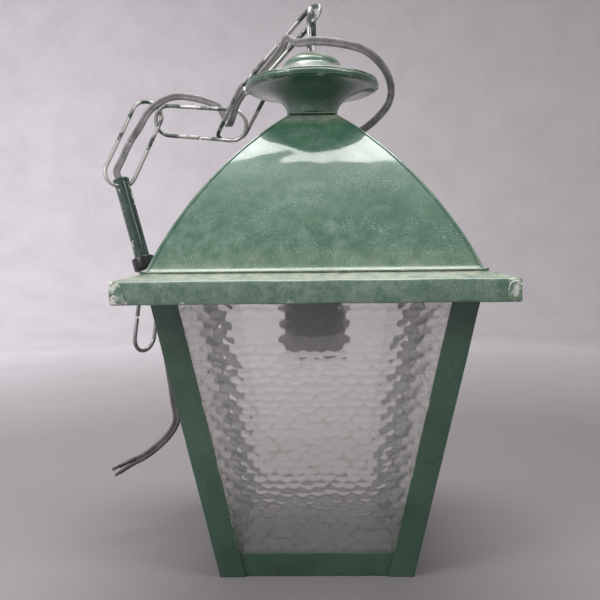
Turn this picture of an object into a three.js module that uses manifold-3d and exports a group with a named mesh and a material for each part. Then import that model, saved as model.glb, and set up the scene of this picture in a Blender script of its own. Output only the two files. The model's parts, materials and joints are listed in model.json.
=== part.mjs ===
// Square hanging lantern: domed sheet-metal roof, hammered glass, chain, stem and flex
// Millimetres, +Z up, front towards -Y
// Built round the lantern's own upright axis; the last lines move the origin to the front bottom rail

import * as THREE from 'three';
import { mergeVertices } from 'three/addons/utils/BufferGeometryUtils.js';
import Module from 'manifold-3d';

const wasm = await Module();
wasm.setup();

// Clearances and sheet
const GAP = 0.3;               // between pieces that touch
const SHEET = 0.9;             // roof and eave sheet
const ANGLE_SHEET = 1.0;       // folded angles of the body

// Body: four leaning walls, wider at the shoulder
const BASE_WIDTH = 120;
const SHOULDER_WIDTH = 184.6;  // where the eave's fascia ends
const POST_LEG = 15.8;
const BOTTOM_RAIL_HEIGHT = 16;
const RAIL_FLANGE = 10;
const TOP_RAIL_HEIGHT = 11;
const GLASS_THICKNESS = 3;
const GLASS_EDGE_COVER = 8.2;  // how far a pane runs behind a post
const TAB_WIDTH = 9;
const TAB_THICKNESS = 0.8;
const TAB_REACH = 5;

// Eave: a shallow pan with a folded fascia
const EAVE_WIDTH = 220;
const EAVE_TOP = 185;          // upper edge of the fascia
const FASCIA_HEIGHT = 12.5;
const BRIM_RISE = 4.6;         // from the fascia to the foot of the roof
const BRIM_LAP = 4.5;          // how far the brim runs in under the roof
const HEM_HEIGHT = 4.5;
const CORNER_TAB_WIDTH = 8.5;

// Roof: four single-curved panels with lapped hips
const ROOF_FOOT_WIDTH = 185;
const ROOF_FLARE = 3.4;        // lip that lies on the brim
const ROOF_TOP_WIDTH = 31;
const ROOF_TOP_Z = 290.4;
const ROOF_BULGE = 7.3;        // rise of the curve over its chord
const HIP_LAP = 3.2;
const TOP_PLATE_HOLE_RADIUS = 9;

// Chimney: a trumpet, its cover and the hanger
const NECK_RADIUS = 16.8;
const FLANGE_RADIUS = 44.8;
const TRUMPET_HEIGHT = 16.6;   // neck to the underside of the flange
const FLANGE_LIP = 4.2;
const COVER_SLOPE_RADIUS = 25;
const COVER_SLOPE_RISE = 7.2;
const DOME_RADIUS = 18.2;      // where the dome springs
const DOME_SPRING_RISE = 14.5; // from the flange's lip
const DOME_RISE = 6.4;
const HANGER_WIRE = 3.2;
const HANGER_TOP_Z = 363.5;    // centre of the wire
const HANGER_HALF_SPAN = 9;
const HANGER_TURN = 10;        // degrees about the lantern's axis
const HANGER_PLATE_WIDTH = 11;
const HANGER_PLATE_THICKNESS = 1.5;

// Lampholder
const CROSSBAR_WIDTH = 15;
const CROSSBAR_THICKNESS = 1.5;
const NIPPLE_RADIUS = 5;
const NIPPLE_BORE = 3.5;
const NIPPLE_LENGTH = 17;
const NUT_ACROSS_FLATS = 14;
const NUT_THICKNESS = 3.5;
const HOLDER_RADIUS = 21.5;
const HOLDER_WALL = 2.2;
const HOLDER_CAP_HEIGHT = 19;
const HOLDER_BODY_HEIGHT = 33;
const SHELL_BORE_RADIUS = 13.4;
const SHELL_HEIGHT = 24;
const INSERT_HEIGHT = 5.5;

// Chain, stem and what hangs on them
const WIRE = 3.2;
const LINK_LENGTH = 81;
const LINK_WIDTH = 26.5;
const LINK_SEAM = 1.2;         // where a link's bent wire butts
const STEM_RADIUS = 5.7;
const STEM_WALL = 0.55;
const STEM_LENGTH = 92;
const STEM_LIP = 0.7;          // rolled lip at the stem's mouth
const STEM_HOLE_INSET = 6.4;
const STEM_OFFSET = 1.35;      // the cross wires pass beside the stem's axis, the flex on the other side
const FLEX_OFFSET = 2.7;
const CROSS_HOLE_RADIUS = 2.8;
const CROSS_HOLE_LIFT = 1.3;
const STEM_ON_LINK = 33;       // degrees round the last link's lower bend to where the stem hangs
const STEM_FROM_EAVE = 17;     // between the fascia and the stem's axis where the stem passes it
const COLLAR_RADIUS = 8.6;
const COLLAR_LENGTH = 9.5;
const COLLAR_FROM_TOP = 64.5;
const RING_WIRE = 3;
const RING_LENGTH = 55.5;
const RING_WIDTH = 25;

// Flex: two cores side by side
const FLEX_DIAMETER = 4.3;     // mean of the flat flex's width and thickness
const FLEX_SIDES = 10;
const GROMMET_X = 18;
const GROMMET_HALF_WIDTH_AT = 41;
const GROMMET_BORE = 3.4;
const GROMMET_RADIUS = 6;
const GROMMET_FLANGE = 1.8;

const group = new THREE.Group();
const V = (x, y, z) => new THREE.Vector3(x, y, z);
const degrees = THREE.MathUtils.degToRad;
const WELD = 1e-4;             // points closer than this are one

function finish(color, roughness, metalness) {
  return new THREE.MeshStandardMaterial({ color, roughness, metalness });
}

const GREEN = finish(0x2f4a3a, 0.45, 0.1);
const ROOF_GREEN = finish(0x46695a, 0.5, 0.1);
const GLASS = finish(0xbfc0ba, 0.2, 0);
const BLACK = finish(0x1c1c1c, 0.4, 0);
const STEEL = finish(0x9a9a98, 0.35, 0.9);
const BRASS = finish(0xb08d4a, 0.35, 0.9);
const RUBBER = finish(0x2a2a2c, 0.7, 0);
const GREY_FLEX = finish(0x8f8d8f, 0.5, 0);
const PORCELAIN = finish(0xdedad0, 0.35, 0);

// A piece is one named mesh
function piece(name, geometry, material, parent = group) {
  const mesh = new THREE.Mesh(geometry, material);
  mesh.name = name;
  parent.add(mesh);
  return mesh;
}

// A closed body from points and triangles, turned so that its faces point out
function body(points, triangles) {
  let volume = 0;
  for (const [a, b, c] of triangles) {
    volume += points[a].dot(V(0, 0, 0).crossVectors(points[b], points[c])) / 6;
  }
  const order = volume > 0 ? triangles : triangles.map(([a, b, c]) => [a, c, b]);
  const geometry = new THREE.BufferGeometry();
  const numbers = points.flatMap((p) => [p.x, p.y, p.z]);
  geometry.setAttribute('position', new THREE.Float32BufferAttribute(numbers, 3));
  geometry.setIndex(order.flat());
  return geometry;
}

// Skin over sections of equally many points, capped by a triangulated outline
function loft(sections, capTriangles, closed = false) {
  const n = sections[0].length;
  const points = sections.flat();
  const triangles = [];
  const last = closed ? sections.length : sections.length - 1;
  for (let i = 0; i < last; i++) {
    for (let j = 0; j < n; j++) {
      const a = i * n + j;
      const b = i * n + (j + 1) % n;
      const c = ((i + 1) % sections.length) * n + (j + 1) % n;
      const d = ((i + 1) % sections.length) * n + j;
      triangles.push([a, b, c], [a, c, d]);
    }
  }
  if (!closed) {
    const end = (sections.length - 1) * n;
    for (const [a, b, c] of capTriangles) {
      triangles.push([a, c, b], [end + a, end + b, end + c]);
    }
  }
  return body(points, triangles);
}

const outline = (pairs) => THREE.ShapeUtils.triangulateShape(pairs.map(([x, y]) => new THREE.Vector2(x, y)), []);

// Booleans
function toSolid(geometry) {
  const plain = geometry.clone();
  plain.deleteAttribute('normal');
  plain.deleteAttribute('uv');
  const merged = mergeVertices(plain, WELD);
  return new wasm.Manifold(new wasm.Mesh({
    numProp: 3,
    vertProperties: new Float32Array(merged.attributes.position.array),
    triVerts: new Uint32Array(merged.index.array),
  }));
}

function toGeometry(solid) {
  const { vertProperties, triVerts } = solid.getMesh();
  const geometry = new THREE.BufferGeometry();
  geometry.setAttribute('position', new THREE.BufferAttribute(new Float32Array(vertProperties), 3));
  geometry.setIndex(new THREE.BufferAttribute(new Uint32Array(triVerts), 1));
  return geometry;
}

const cut = (geometry, ...tools) => toGeometry(tools.reduce((s, t) => s.subtract(toSolid(t)), toSolid(geometry)));
const join = (geometry, ...more) => toGeometry(more.reduce((s, t) => s.add(toSolid(t)), toSolid(geometry)));

// Welded copy of a geometry, its faces pointing out
function welded(geometry) {
  const plain = geometry.clone();
  plain.deleteAttribute('normal');
  plain.deleteAttribute('uv');
  const merged = mergeVertices(plain, WELD);
  const position = merged.attributes.position;
  const points = [];
  for (let i = 0; i < position.count; i++) {
    points.push(V(position.getX(i), position.getY(i), position.getZ(i)));
  }
  const triangles = [];
  const index = merged.index.array;
  for (let i = 0; i < index.length; i += 3) {
    const triangle = [index[i], index[i + 1], index[i + 2]];
    if (new Set(triangle).size === 3) triangles.push(triangle);
  }
  return body(points, triangles);
}

// A round piece about Z from closed [radius, height] pairs
function turned(profile, segments) {
  const onAxis = profile[0][0] === 0;
  const ring = onAxis ? profile : [...profile, profile[0]];
  const geometry = new THREE.LatheGeometry(ring.map(([r, z]) => new THREE.Vector2(r, z)), segments);
  return welded(geometry.rotateX(Math.PI / 2));
}

function rod(radius, length, sides = 24) {
  return new THREE.CylinderGeometry(radius, radius, length, sides).rotateX(Math.PI / 2);
}

// Straight rod between two points
function rodBetween(a, b, radius, sides = 24) {
  const geometry = rod(radius, a.distanceTo(b), sides);
  const turn = new THREE.Quaternion().setFromUnitVectors(V(0, 0, 1), V(0, 0, 0).subVectors(b, a).normalize());
  geometry.applyQuaternion(turn);
  const middle = V(0, 0, 0).addVectors(a, b).multiplyScalar(0.5);
  return geometry.translate(middle.x, middle.y, middle.z);
}

// Wall geometry shared by posts, rails and glass
const WALL_LEAN = (SHOULDER_WIDTH - BASE_WIDTH) / 2 / (EAVE_TOP - FASCIA_HEIGHT);
const wallHalf = (z) => BASE_WIDTH / 2 + WALL_LEAN * z;
const BRIM_SLOPE = BRIM_RISE / ((EAVE_WIDTH - ROOF_FOOT_WIDTH) / 2);
const brimTop = (w) => EAVE_TOP + BRIM_SLOPE * (EAVE_WIDTH / 2 - w);
const brimUnder = (w) => brimTop(w) - SHEET * Math.hypot(1, BRIM_SLOPE);
const POST_TOP = (brimUnder(BASE_WIDTH / 2) - GAP) / (1 + BRIM_SLOPE * WALL_LEAN);
const TOP_RAIL_TOP = POST_TOP - 1.2;
const TOP_RAIL_BOTTOM = TOP_RAIL_TOP - TOP_RAIL_HEIGHT;
const RAIL_OFFSET = ANGLE_SHEET + GAP;
const GLASS_OFFSET = RAIL_OFFSET + ANGLE_SHEET + GAP;
const SIDES = ['front', 'right', 'back', 'left'];

// A bar with mitred ends on the front wall, from [half width, height] pairs
function mitred(pairs, endGap) {
  const ends = [-1, 1].map((s) => pairs.map(([w, z]) => V(s * (w - endGap), -w, z)));
  return loft(ends, outline(pairs));
}

// A flat slab on the leaning front wall, behind its outer face
function slab(z1, z2, offset, thickness, edge) {
  const section = (z) => {
    const w = wallHalf(z);
    const y1 = -(w - offset);
    const y2 = -(w - offset - thickness);
    return [V(-(w - edge), y1, z), V(w - edge, y1, z), V(w - edge, y2, z), V(-(w - edge), y2, z)];
  };
  return loft([section(z1), section(z2)], [[0, 1, 2], [0, 2, 3]]);
}

function onSide(index, geometry) {
  return geometry.clone().rotateZ(index * Math.PI / 2);
}

// Corner post: an equal angle, sheared to lean with the walls
function post() {
  const w0 = BASE_WIDTH / 2;
  const shape = new THREE.Shape();
  shape.moveTo(-w0, -w0);
  shape.lineTo(-w0 + POST_LEG, -w0);
  shape.lineTo(-w0 + POST_LEG, -w0 + ANGLE_SHEET);
  shape.lineTo(-w0 + ANGLE_SHEET, -w0 + ANGLE_SHEET);
  shape.lineTo(-w0 + ANGLE_SHEET, -w0 + POST_LEG);
  shape.lineTo(-w0, -w0 + POST_LEG);
  const geometry = new THREE.ExtrudeGeometry(shape, { depth: POST_TOP, bevelEnabled: false });
  const lean = new THREE.Matrix4().set(
    1, 0, -WALL_LEAN, 0,
    0, 1, -WALL_LEAN, 0,
    0, 0, 1, 0,
    0, 0, 0, 1,
  );
  return geometry.applyMatrix4(lean);
}

function bottomRail() {
  const outer = (z) => wallHalf(z) - RAIL_OFFSET;
  const H = BOTTOM_RAIL_HEIGHT;
  return mitred([
    [outer(0), 0],
    [outer(H), H],
    [outer(H) - ANGLE_SHEET, H],
    [outer(ANGLE_SHEET) - ANGLE_SHEET, ANGLE_SHEET],
    [outer(0) - RAIL_FLANGE, ANGLE_SHEET],
    [outer(0) - RAIL_FLANGE, 0],
  ], GAP);
}

function topRail() {
  const outer = (z) => wallHalf(z) - RAIL_OFFSET;
  const T = TOP_RAIL_TOP;
  const B = TOP_RAIL_BOTTOM;
  return mitred([
    [outer(B), B],
    [outer(T), T],
    [outer(T) - RAIL_FLANGE, T],
    [outer(T) - RAIL_FLANGE, T - ANGLE_SHEET],
    [outer(T - ANGLE_SHEET) - ANGLE_SHEET, T - ANGLE_SHEET],
    [outer(B) - ANGLE_SHEET, B],
  ], GAP);
}

const GLASS_BOTTOM = ANGLE_SHEET + GAP;
const GLASS_TOP = TOP_RAIL_TOP - ANGLE_SHEET - GAP;
const GLASS_EDGE = POST_LEG - GLASS_EDGE_COVER;

// Joggled tab: soldered to the post's leg, steps over the pane's edge and holds it from inside
function glazingTab(side, height) {
  const root = ANGLE_SHEET + GAP;
  const inner = GLASS_OFFSET + GLASS_THICKNESS + GAP;
  const edge = GLASS_EDGE - GAP;
  const t = TAB_THICKNESS;
  const pairs = [
    [root + 0.9, root],
    [edge, root],
    [edge, inner],
    [edge + TAB_REACH, inner],
    [edge + TAB_REACH, inner + t],
    [edge - t, inner + t],
    [edge - t, root + t],
    [root + 0.9, root + t],
  ];
  const section = (z) => pairs.map(([along, depth]) => {
    const w = wallHalf(z);
    return V(side * (w - along), -(w - depth), z);
  });
  return loft([section(height - TAB_WIDTH / 2), section(height + TAB_WIDTH / 2)], outline(pairs));
}

// The height of the tabs differs from wall to wall, so that they don't meet in the corners
const TAB_HEIGHTS = [74, 98, 74, 98];
const CORNERS = ['front_left', 'front_right', 'back_right', 'back_left'];

for (let k = 0; k < 4; k++) {
  piece(`post_${CORNERS[k]}`, onSide(k, post()), GREEN);
  piece(`bottom_rail_${SIDES[k]}`, onSide(k, bottomRail()), GREEN);
  piece(`top_rail_${SIDES[k]}`, onSide(k, topRail()), GREEN);
  const pane = slab(GLASS_BOTTOM, GLASS_TOP, GLASS_OFFSET, GLASS_THICKNESS, GLASS_EDGE);
  piece(`glass_${SIDES[k]}`, onSide(k, pane), GLASS);
  piece(`glazing_tab_${SIDES[k]}_1`, onSide(k, glazingTab(-1, TAB_HEIGHTS[k])), GREEN);
  piece(`glazing_tab_${SIDES[k]}_2`, onSide(k, glazingTab(1, TAB_HEIGHTS[k])), GREEN);
}

// Eave: fascia, rounded fold and sloping brim in one sheet, with the fascia's foot hemmed
function eave() {
  const half = EAVE_WIDTH / 2;
  const bottom = EAVE_TOP - FASCIA_HEIGHT;
  const inner = ROOF_FOOT_WIDTH / 2 - BRIM_LAP;
  const fold = 1.1;
  const pairs = [
    [half, bottom + 0.3],
    [half, EAVE_TOP - fold],
    [half - fold * 0.3, EAVE_TOP - fold * 0.3],
    [half - fold, brimTop(half - fold)],
    [inner, brimTop(inner)],
    [inner, brimUnder(inner)],
    [half - SHEET, brimUnder(half - SHEET)],
    [half - SHEET, bottom + HEM_HEIGHT],
    [half - 2 * SHEET, bottom + HEM_HEIGHT],
    [half - 2 * SHEET, bottom + 0.3],
    [half - SHEET, bottom],
  ];
  const corners = [[-1, -1], [1, -1], [1, 1], [-1, 1]];
  const sections = corners.map(([sx, sy]) => pairs.map(([w, z]) => V(sx * w, sy * w, z)));
  const ring = loft(sections, [], true);
  const tabs = [];
  for (const [sx, sy] of corners) {
    tabs.push(cornerTab(half, bottom, sx, sy));
  }
  return join(ring, ...tabs);
}

// The ends of the side fascias are folded round onto the front and the back
function cornerTab(half, bottom, sx, sy) {
  const shape = new THREE.Shape();
  const width = CORNER_TAB_WIDTH;
  shape.moveTo(0, 0.6);
  shape.lineTo(width - 2, 0.6);
  shape.quadraticCurveTo(width, 1.2, width - 0.4, 4);
  shape.lineTo(width - 1.6, FASCIA_HEIGHT - 3.4);
  shape.quadraticCurveTo(width - 2, FASCIA_HEIGHT - 1.4, width - 4, FASCIA_HEIGHT - 1.2);
  shape.lineTo(0, FASCIA_HEIGHT - 1.4);
  const geometry = new THREE.ExtrudeGeometry(shape, { depth: SHEET + 0.3, bevelEnabled: false, curveSegments: 4 });
  geometry.rotateX(Math.PI / 2);
  geometry.translate(-half, -half + 0.3, bottom);
  return welded(geometry.scale(sx < 0 ? 1 : -1, sy < 0 ? 1 : -1, 1));
}

piece('eave', eave(), ROOF_GREEN);

// Roof curve: a lip on the brim, a small hollow, then one long arc to the neck
function roofCurve() {
  const foot = ROOF_FOOT_WIDTH / 2;
  const lipEnd = foot + ROOF_FLARE;
  const lift = SHEET + GAP;
  const start = [lipEnd, brimTop(lipEnd) + lift];
  const turn = [foot + 0.2, brimTop(foot) + lift];
  const spring = [foot - 1.3, brimTop(foot) + lift + 4];
  const top = [ROOF_TOP_WIDTH / 2, ROOF_TOP_Z];
  const points = [start];
  for (let i = 1; i <= 4; i++) {
    const t = i / 4;
    const u = 1 - t;
    const from = [start[0] - 1.2, start[1] + 1.2 * BRIM_SLOPE];
    points.push([0, 1].map((k) => u * u * from[k] + 2 * u * t * turn[k] + t * t * spring[k]));
  }
  const dw = top[0] - spring[0];
  const dz = top[1] - spring[1];
  const chord = Math.hypot(dw, dz);
  const radius = (chord * chord / 4 + ROOF_BULGE * ROOF_BULGE) / (2 * ROOF_BULGE);
  const half = Math.asin(chord / 2 / radius);
  const normal = [dz / chord, -dw / chord];
  const steps = 16;
  for (let i = 1; i <= steps; i++) {
    const a = -half + 2 * half * i / steps;
    const along = chord / 2 + radius * Math.sin(a);
    const out = radius * Math.cos(a) - (radius - ROOF_BULGE);
    points.push([spring[0] + dw * along / chord + normal[0] * out, spring[1] + dz * along / chord + normal[1] * out]);
  }
  return points;
}

const ROOF_CURVE = roofCurve();

// Unit normals of the curve, pointing out
const ROOF_NORMALS = ROOF_CURVE.map((p, i) => {
  const a = ROOF_CURVE[Math.max(0, i - 1)];
  const b = ROOF_CURVE[Math.min(ROOF_CURVE.length - 1, i + 1)];
  const length = Math.hypot(b[0] - a[0], b[1] - a[1]);
  return [(b[1] - a[1]) / length, -(b[0] - a[0]) / length];
});

const roofAt = (i, out) => [ROOF_CURVE[i][0] + ROOF_NORMALS[i][0] * out, ROOF_CURVE[i][1] + ROOF_NORMALS[i][1] * out];

function roofPanel() {
  const count = ROOF_CURVE.length;
  const outer = ROOF_CURVE.map((p) => p);
  const inner = ROOF_CURVE.map((p, i) => roofAt(i, -SHEET)).reverse();
  const pairs = [...outer, ...inner];
  const caps = [];
  for (let i = 0; i < count - 1; i++) {
    const a = i;
    const b = i + 1;
    const c = 2 * count - 2 - i;
    const d = 2 * count - 1 - i;
    caps.push([a, b, c], [a, c, d]);
  }
  const ends = [-1, 1].map((s) => pairs.map(([w, z]) => V(s * (w - GAP / 2), -w, z)));
  return loft(ends, caps);
}

// Lap of a side panel, folded over the hip onto the front panel and back into its own sheet
function hipLap(sx, sy) {
  const inside = -SHEET / 2;
  const over = GAP + SHEET;
  const sections = [];
  for (let i = 1; i < ROOF_CURVE.length; i++) {
    const w = ROOF_CURVE[i][0];
    const front = (x, out) => {
      const [wo, z] = roofAt(i, out);
      return V(sx * x, sy * wo, z);
    };
    const side = (y, out) => {
      const [wo, z] = roofAt(i, out);
      return V(sx * wo, sy * y, z);
    };
    const corner = (out) => front(roofAt(i, out)[0], out);
    sections.push([
      front(w - HIP_LAP, GAP),
      front(w - HIP_LAP, over),
      corner(over),
      side(w - HIP_LAP, over),
      side(w - HIP_LAP, inside),
      side(w - GAP * 1.6, inside),
      corner(GAP),
    ]);
  }
  const caps = [[0, 1, 2], [0, 2, 6], [2, 3, 4], [2, 4, 5], [2, 5, 6]];
  return loft(sections, caps);
}

const GROMMET_INDEX = ROOF_CURVE.findIndex(([w]) => w < GROMMET_HALF_WIDTH_AT);
const GROMMET_SPOT = ROOF_CURVE[GROMMET_INDEX];
const GROMMET_OUT = V(0, ROOF_NORMALS[GROMMET_INDEX][0], ROOF_NORMALS[GROMMET_INDEX][1]);
const GROMMET_POINT = V(GROMMET_X, GROMMET_SPOT[0], GROMMET_SPOT[1]);
const grommetPoint = (out) => GROMMET_POINT.clone().addScaledVector(GROMMET_OUT, out);
const GROMMET_GROOVE = GROMMET_BORE + 1;

piece('roof_panel_front', roofPanel(), ROOF_GREEN);
const backPanel = onSide(2, roofPanel());
const grommetHole = rodBetween(grommetPoint(-6), grommetPoint(6), GROMMET_GROOVE + GAP);
piece('roof_panel_back', cut(backPanel, grommetHole), ROOF_GREEN);
for (const [name, index, sx] of [['roof_panel_right', 1, 1], ['roof_panel_left', 3, -1]]) {
  piece(name, join(onSide(index, roofPanel()), hipLap(sx, -1), hipLap(sx, 1)), ROOF_GREEN);
}

// Top plate: closes the roof between the panels and carries the chimney
const TOP_PLATE_Z = ROOF_TOP_Z + GAP;
function topPlate() {
  const half = ROOF_TOP_WIDTH / 2 + 0.6;
  const plate = new THREE.BoxGeometry(2 * half, 2 * half, SHEET).translate(0, 0, TOP_PLATE_Z + SHEET / 2 + 0.9);
  const skirt = new THREE.BoxGeometry(2 * half - 8, 2 * half - 8, 5).translate(0, 0, TOP_PLATE_Z - 0.9);
  const hole = rod(TOP_PLATE_HOLE_RADIUS, 30).translate(0, 0, TOP_PLATE_Z);
  return cut(join(plate, skirt), hole);
}
piece('roof_top_plate', topPlate(), ROOF_GREEN);

// Chimney trumpet with a rolled lip
const NECK_Z = TOP_PLATE_Z + 0.9 + SHEET + GAP;
const LIP_Z = NECK_Z + TRUMPET_HEIGHT + FLANGE_LIP;
function trumpet() {
  const flare = FLANGE_RADIUS - 1.6 - NECK_RADIUS;
  const outer = [];
  const inner = [];
  const steps = 9;
  for (let i = 0; i <= steps; i++) {
    const a = degrees(8 + 80 * i / steps);
    const r = NECK_RADIUS + flare * (1 - Math.cos(a));
    const z = NECK_Z + TRUMPET_HEIGHT * Math.sin(a);
    const n = [TRUMPET_HEIGHT * Math.cos(a), -flare * Math.sin(a)];
    const length = Math.hypot(...n);
    outer.push([r, z]);
    inner.push([r - SHEET * n[0] / length, z - SHEET * n[1] / length]);
  }
  outer[0][1] = NECK_Z;
  inner[0][1] = NECK_Z;
  const R = FLANGE_RADIUS;
  const lip = [
    [R - 0.4, LIP_Z - FLANGE_LIP + 0.9],
    [R, LIP_Z - 1.9],
    [R - 0.5, LIP_Z - 0.3],
    [R - 1.5, LIP_Z],
    [R - 2.3, LIP_Z - 0.8],
    [R - 1.6, LIP_Z - 1.4],
    [R - SHEET - 0.3, LIP_Z - 2],
  ];
  return turned([...outer, ...lip, ...inner.reverse()], 48);
}
piece('chimney_trumpet', trumpet(), GREEN);

// Cover: a sloping sheet on the trumpet's lip with a raised dome
const COVER_EDGE_RADIUS = FLANGE_RADIUS - 0.9;
const COVER_Z = LIP_Z + GAP;
const DOME_SPRING_Z = COVER_Z + DOME_SPRING_RISE;
const DOME_SPHERE = (DOME_RADIUS * DOME_RADIUS + DOME_RISE * DOME_RISE) / (2 * DOME_RISE);
const domeZ = (r) => DOME_SPRING_Z + DOME_RISE - (DOME_SPHERE - Math.sqrt(DOME_SPHERE * DOME_SPHERE - r * r));
function cover() {
  const outer = [
    [COVER_EDGE_RADIUS, COVER_Z + SHEET * 0.5],
    [COVER_EDGE_RADIUS - 0.6, COVER_Z + SHEET + 0.2],
    [(COVER_EDGE_RADIUS + COVER_SLOPE_RADIUS) / 2, COVER_Z + COVER_SLOPE_RISE * 0.36 + SHEET],
    [COVER_SLOPE_RADIUS, COVER_Z + COVER_SLOPE_RISE],
    [DOME_RADIUS + 3.2, COVER_Z + COVER_SLOPE_RISE + 2.6],
    [DOME_RADIUS + 1.3, DOME_SPRING_Z - 2.6],
  ];
  for (let i = 0; i <= 5; i++) {
    const r = DOME_RADIUS * (1 - i / 5);
    outer.push([r, domeZ(r)]);
  }
  const inner = outer.map((p, i) => {
    const a = outer[Math.max(0, i - 1)];
    const b = outer[Math.min(outer.length - 1, i + 1)];
    const length = Math.hypot(b[0] - a[0], b[1] - a[1]);
    const n = [(b[1] - a[1]) / length, -(b[0] - a[0]) / length];
    return [Math.max(0, p[0] - SHEET * n[0]), p[1] - SHEET * n[1]];
  });
  inner[0] = [COVER_EDGE_RADIUS, COVER_Z];
  inner[inner.length - 1] = [0, domeZ(0) - SHEET];
  return turned([...outer.reverse(), ...inner], 48);
}
const HANGER_ALONG = V(Math.sin(degrees(HANGER_TURN)), Math.cos(degrees(HANGER_TURN)), 0);
const hangerPoint = (along, z) => V(HANGER_ALONG.x * along, HANGER_ALONG.y * along, z);
const legHoles = (z1, z2) => [-1, 1].map((s) => rodBetween(
  hangerPoint(s * HANGER_HALF_SPAN, z1),
  hangerPoint(s * HANGER_HALF_SPAN, z2),
  HANGER_WIRE / 2 + GAP,
  16,
));
piece('chimney_cover', cut(cover(), ...legHoles(COVER_Z, HANGER_TOP_Z)), ROOF_GREEN);

// Hanger: a wire loop whose legs pass through the dome and hook under a plate
const PLATE_HALF = DOME_RADIUS - 1.6;
const PLATE_TOP = domeZ(PLATE_HALF + SHEET) - SHEET - GAP - 0.35;
const HANGER_FOOT_Z = PLATE_TOP - HANGER_PLATE_THICKNESS - GAP - HANGER_WIRE / 2;

function hanger() {
  const h = HANGER_HALF_SPAN;
  const bend = 2.6;
  const foot = 4.2;
  const path = [];
  const low = HANGER_FOOT_Z;
  const arc = (cx, cz, r, from, to, count) => {
    for (let i = 0; i <= count; i++) {
      const a = degrees(from + (to - from) * i / count);
      path.push([cx + r * Math.cos(a), cz + r * Math.sin(a)]);
    }
  };
  path.push([-h - bend + foot + bend, low]);
  arc(-h + bend, low + bend, bend, 270, 180, 3);
  arc(0, HANGER_TOP_Z - h, h, 180, 0, 14);
  arc(h - bend, low + bend, bend, 0, -90, 3);
  path.push([h - foot, low]);
  return sweep(path.map(([a, z]) => hangerPoint(a, z)), HANGER_WIRE, V(-HANGER_ALONG.y, HANGER_ALONG.x, 0));
}

// Round wire through points of one plane, whose normal is given
function sweep(points, diameter, normal, sides = 8, closed = false) {
  const n = points.length;
  const sections = points.map((p, i) => {
    const a = closed ? points[(i + n - 1) % n] : points[Math.max(0, i - 1)];
    const b = closed ? points[(i + 1) % n] : points[Math.min(n - 1, i + 1)];
    const along = V(0, 0, 0).subVectors(b, a).normalize();
    const across = V(0, 0, 0).crossVectors(along, normal).normalize();
    const ring = [];
    for (let j = 0; j < sides; j++) {
      const t = 2 * Math.PI * (j + 0.5) / sides;
      const side = p.clone().addScaledVector(across, diameter / 2 * Math.cos(t));
      ring.push(side.addScaledVector(normal, diameter / 2 * Math.sin(t)));
    }
    return ring;
  });
  const caps = [];
  for (let j = 1; j < sides - 1; j++) {
    caps.push([0, j, j + 1]);
  }
  return loft(sections, caps, closed);
}
piece('hanger', hanger(), GREEN);

function hangerPlate() {
  const shape = new THREE.Shape();
  const r = HANGER_PLATE_WIDTH / 2;
  shape.absarc(PLATE_HALF - r, 0, r, -Math.PI / 2, Math.PI / 2);
  shape.absarc(-PLATE_HALF + r, 0, r, Math.PI / 2, 3 * Math.PI / 2);
  const plate = new THREE.ExtrudeGeometry(shape, {
    depth: HANGER_PLATE_THICKNESS,
    bevelEnabled: false,
    curveSegments: 10,
  });
  plate.translate(0, 0, PLATE_TOP - HANGER_PLATE_THICKNESS);
  plate.rotateZ(Math.PI / 2 - degrees(HANGER_TURN));
  return cut(plate, ...legHoles(PLATE_TOP - 5, PLATE_TOP + 5));
}
piece('hanger_plate', hangerPlate(), STEEL);

// Lampholder on a crossbar that lies on the side rails
const CROSSBAR_Z = TOP_RAIL_TOP + GAP;
const CROSSBAR_HALF = wallHalf(TOP_RAIL_TOP) - RAIL_OFFSET - 1.5;
function crossbar() {
  const bar = new THREE.BoxGeometry(2 * CROSSBAR_HALF, CROSSBAR_WIDTH, CROSSBAR_THICKNESS);
  bar.translate(0, 0, CROSSBAR_Z + CROSSBAR_THICKNESS / 2);
  return cut(bar, rod(NIPPLE_RADIUS + GAP, 20).translate(0, 0, CROSSBAR_Z));
}
piece('lampholder_crossbar', crossbar(), STEEL);

const HOLDER_CAP_TOP = CROSSBAR_Z - GAP;
const NUT_Z = CROSSBAR_Z + CROSSBAR_THICKNESS + GAP;
const NIPPLE_TOP = NUT_Z + NUT_THICKNESS + 2;
piece('threaded_nipple', turned([
  [NIPPLE_BORE, NIPPLE_TOP - NIPPLE_LENGTH],
  [NIPPLE_RADIUS - 0.5, NIPPLE_TOP - NIPPLE_LENGTH],
  [NIPPLE_RADIUS, NIPPLE_TOP - NIPPLE_LENGTH + 0.5],
  [NIPPLE_RADIUS, NIPPLE_TOP - 0.5],
  [NIPPLE_RADIUS - 0.5, NIPPLE_TOP],
  [NIPPLE_BORE, NIPPLE_TOP],
], 24), BRASS);

function nut() {
  const shape = new THREE.Shape();
  for (let i = 0; i < 6; i++) {
    const a = degrees(30 + 60 * i);
    const r = NUT_ACROSS_FLATS / Math.sqrt(3);
    if (i === 0) shape.moveTo(r * Math.cos(a), r * Math.sin(a));
    else shape.lineTo(r * Math.cos(a), r * Math.sin(a));
  }
  const hole = new THREE.Path();
  hole.absarc(0, 0, NIPPLE_RADIUS + GAP, 0, 2 * Math.PI, true);
  shape.holes.push(hole);
  return new THREE.ExtrudeGeometry(shape, { depth: NUT_THICKNESS, bevelEnabled: false, curveSegments: 12 })
    .translate(0, 0, NUT_Z);
}
piece('nipple_nut', nut(), STEEL);

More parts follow.
